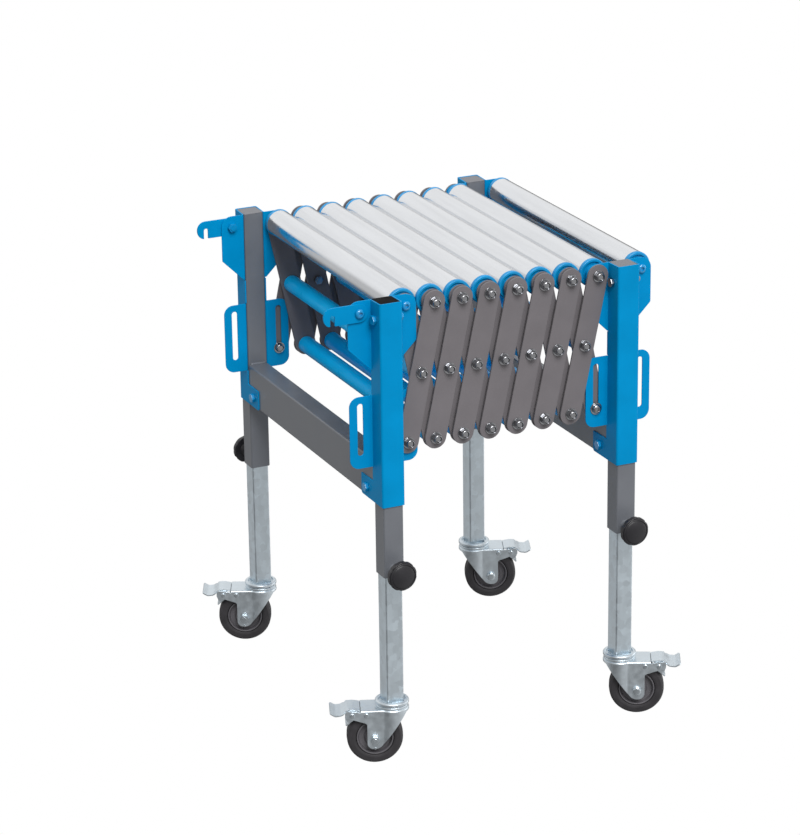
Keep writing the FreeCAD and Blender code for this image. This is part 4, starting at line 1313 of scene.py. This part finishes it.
class CONVEYOR_OT_stage(bpy.types.Operator):
    """Pale floor, soft studio lights, and the camera at the photograph's angle"""
    bl_idname = "conveyor.stage"
    bl_label = "Stage"

    def execute(self, context):
        self.add_floor(context.scene)
        self.add_world(context.scene)
        self.add_suns(context.scene)
        self.add_camera(context.scene)
        context.scene.view_settings.view_transform = "Standard"
        return {"FINISHED"}

    def add_floor(self, scene):
        """A round floor, kept out of sight so that a leg let down below its level still shows."""
        bm = bmesh.new()
        bmesh.ops.create_circle(bm, cap_ends=True, radius=9.0, segments=96)
        mesh = bpy.data.meshes.new("studio_floor")
        bm.to_mesh(mesh)
        bm.free()
        mesh.materials.append(finish(painted_floor))
        floor = bpy.data.objects.new("studio_floor", mesh)
        scene.collection.objects.link(floor)
        floor.visible_camera = False
        floor.visible_diffuse = False
        floor.visible_glossy = False

    def add_world(self, scene):
        """A white studio: soft light from above, and from below the light that a pale floor throws up."""
        world = bpy.data.worlds.new("studio_world")
        world.use_nodes = True
        scene.world = world
        tree = world.node_tree
        path = add_node(tree, "LightPath")
        way = add_node(tree, "TexCoord").outputs["Generated"]
        split = add_node(tree, "SeparateXYZ", {"Vector": way})
        # Low light is stronger from the right in front of the object, and only from the left behind it
        front = add_node(tree, "MapRange", {"Value": split.outputs["X"], "From Min": -0.6,
                                            "From Max": 0.6, "To Min": 0.2, "To Max": 0.64})
        behind = add_node(tree, "MapRange", {"Value": split.outputs["X"], "From Min": -0.4,
                                             "From Max": -0.15, "To Min": 0.6, "To Max": 0.12})
        away = add_node(tree, "MapRange", {"Value": split.outputs["Y"], "From Min": 0.1,
                                           "From Max": 0.5})
        below = add_node(tree, "Mix", {"Factor": away.outputs["Result"],
                                       "A": front.outputs["Result"],
                                       "B": behind.outputs["Result"]}, data_type="FLOAT")
        # High light is stronger from behind, where the rollers reflect it
        above = add_node(tree, "MapRange", {"Value": split.outputs["Y"], "From Min": 0.2,
                                            "From Max": 0.8, "To Min": 0.6, "To Max": 1.0})
        rise = add_node(tree, "MapRange", {"Value": split.outputs["Z"], "From Min": -0.05,
                                           "From Max": 0.2})
        glow = add_node(tree, "Mix", {"Factor": rise.outputs["Result"],
                                      "A": below.outputs["Result"],
                                      "B": above.outputs["Result"]}, data_type="FLOAT")
        # The backdrop itself is seen as plain white
        seen = add_node(tree, "Math", {0: glow.outputs["Result"], 1: path.outputs["Is Camera Ray"]},
                        operation="MAXIMUM")
        connect(tree, tree.nodes["Background"], {"Color": (1, 1, 1, 1), "Strength": seen.outputs["Value"]})

    def add_suns(self, scene):
        """A key light over the viewer's shoulder, and a low side light from the right."""
        for name, place, spread, power in (("key", (-0.4, -3.2, 3.4), 31, 2.8),
                                           ("side", (3.0, 0.0, 0.3), 50, 0.7)):
            light = bpy.data.lights.new(name, "SUN")
            light.angle = math.radians(spread)
            light.energy = power
            lamp = bpy.data.objects.new(name, light)
            lamp.location = place
            lamp.rotation_euler = Vector(place).to_track_quat("Z", "Y").to_euler()
            scene.collection.objects.link(lamp)

    def add_camera(self, scene):
        """The photograph's viewpoint, in metres, for an image 800 pixels wide."""
        azimuth = math.radians(-24.732)
        elevation = math.radians(20.082)
        roll = math.radians(-0.8)
        target = Vector((0, 0, 0.3618))
        distance = 4.8298
        aside, raised = -0.0484, 0.0432
        focal_pixels, image_width = 3300, 800
        back = Vector((math.sin(azimuth) * math.cos(elevation), -math.cos(azimuth) * math.cos(elevation),
                       math.sin(elevation)))
        right = Vector((math.cos(azimuth), math.sin(azimuth), 0))
        upward = back.cross(right)
        camera = bpy.data.cameras.new("photo_camera")
        camera.sensor_fit = "HORIZONTAL"
        camera.sensor_width = 36.0
        camera.lens = focal_pixels / image_width * camera.sensor_width
        camera.clip_end = 100
        eye = bpy.data.objects.new("photo_camera", camera)
        stand = target + back * distance + right * aside + upward * raised
        tip = Matrix.Rotation(roll, 4, back)
        eye.matrix_world = axes(stand, tip @ right, tip @ upward)
        scene.collection.objects.link(eye)
        scene.camera = eye


class CONVEYOR_PT_panel(bpy.types.Panel):
    """Sizes, colours and pieces of the conveyor"""
    bl_idname = "CONVEYOR_PT_panel"
    bl_label = "Roller Conveyor"
    bl_space_type = "VIEW_3D"
    bl_region_type = "UI"
    bl_category = "Conveyor"

    def draw(self, context):
        layout = self.layout
        for group in (context.scene.conveyor_sizes, context.scene.conveyor_colours):
            for key in group.__annotations__:
                layout.prop(group, key)
        for operator in OPERATORS:
            layout.operator(operator.bl_idname)


OPERATORS = (CONVEYOR_OT_post_frames, CONVEYOR_OT_channels, CONVEYOR_OT_frame_bolts, CONVEYOR_OT_inner_links,
             CONVEYOR_OT_outer_links, CONVEYOR_OT_pivot_bolts, CONVEYOR_OT_rollers, CONVEYOR_OT_legs,
             CONVEYOR_OT_clamp_knobs, CONVEYOR_OT_forks, CONVEYOR_OT_wheels, CONVEYOR_OT_brake_pedals,
             CONVEYOR_OT_hooks, CONVEYOR_OT_stage)
CLASSES = (ConveyorSizes, ConveyorColours) + OPERATORS + (CONVEYOR_PT_panel,)


def register():
    for cls in CLASSES:
        bpy.utils.register_class(cls)
    bpy.types.Scene.conveyor_sizes = bpy.props.PointerProperty(type=ConveyorSizes)
    bpy.types.Scene.conveyor_colours = bpy.props.PointerProperty(type=ConveyorColours)


def unregister():
    del bpy.types.Scene.conveyor_colours
    del bpy.types.Scene.conveyor_sizes
    for cls in reversed(CLASSES):
        bpy.utils.unregister_class(cls)


def main():
    register()
    bpy.ops.conveyor.post_frames()
    bpy.ops.conveyor.channels()
    bpy.ops.conveyor.frame_bolts()
    bpy.ops.conveyor.inner_links()
    bpy.ops.conveyor.outer_links()
    bpy.ops.conveyor.pivot_bolts()
    bpy.ops.conveyor.rollers()
    bpy.ops.conveyor.legs()
    bpy.ops.conveyor.clamp_knobs()
    bpy.ops.conveyor.forks()
    bpy.ops.conveyor.wheels()
    bpy.ops.conveyor.brake_pedals()
    bpy.ops.conveyor.hooks()
    bpy.ops.conveyor.stage()


if __name__ == "__main__":
    main()
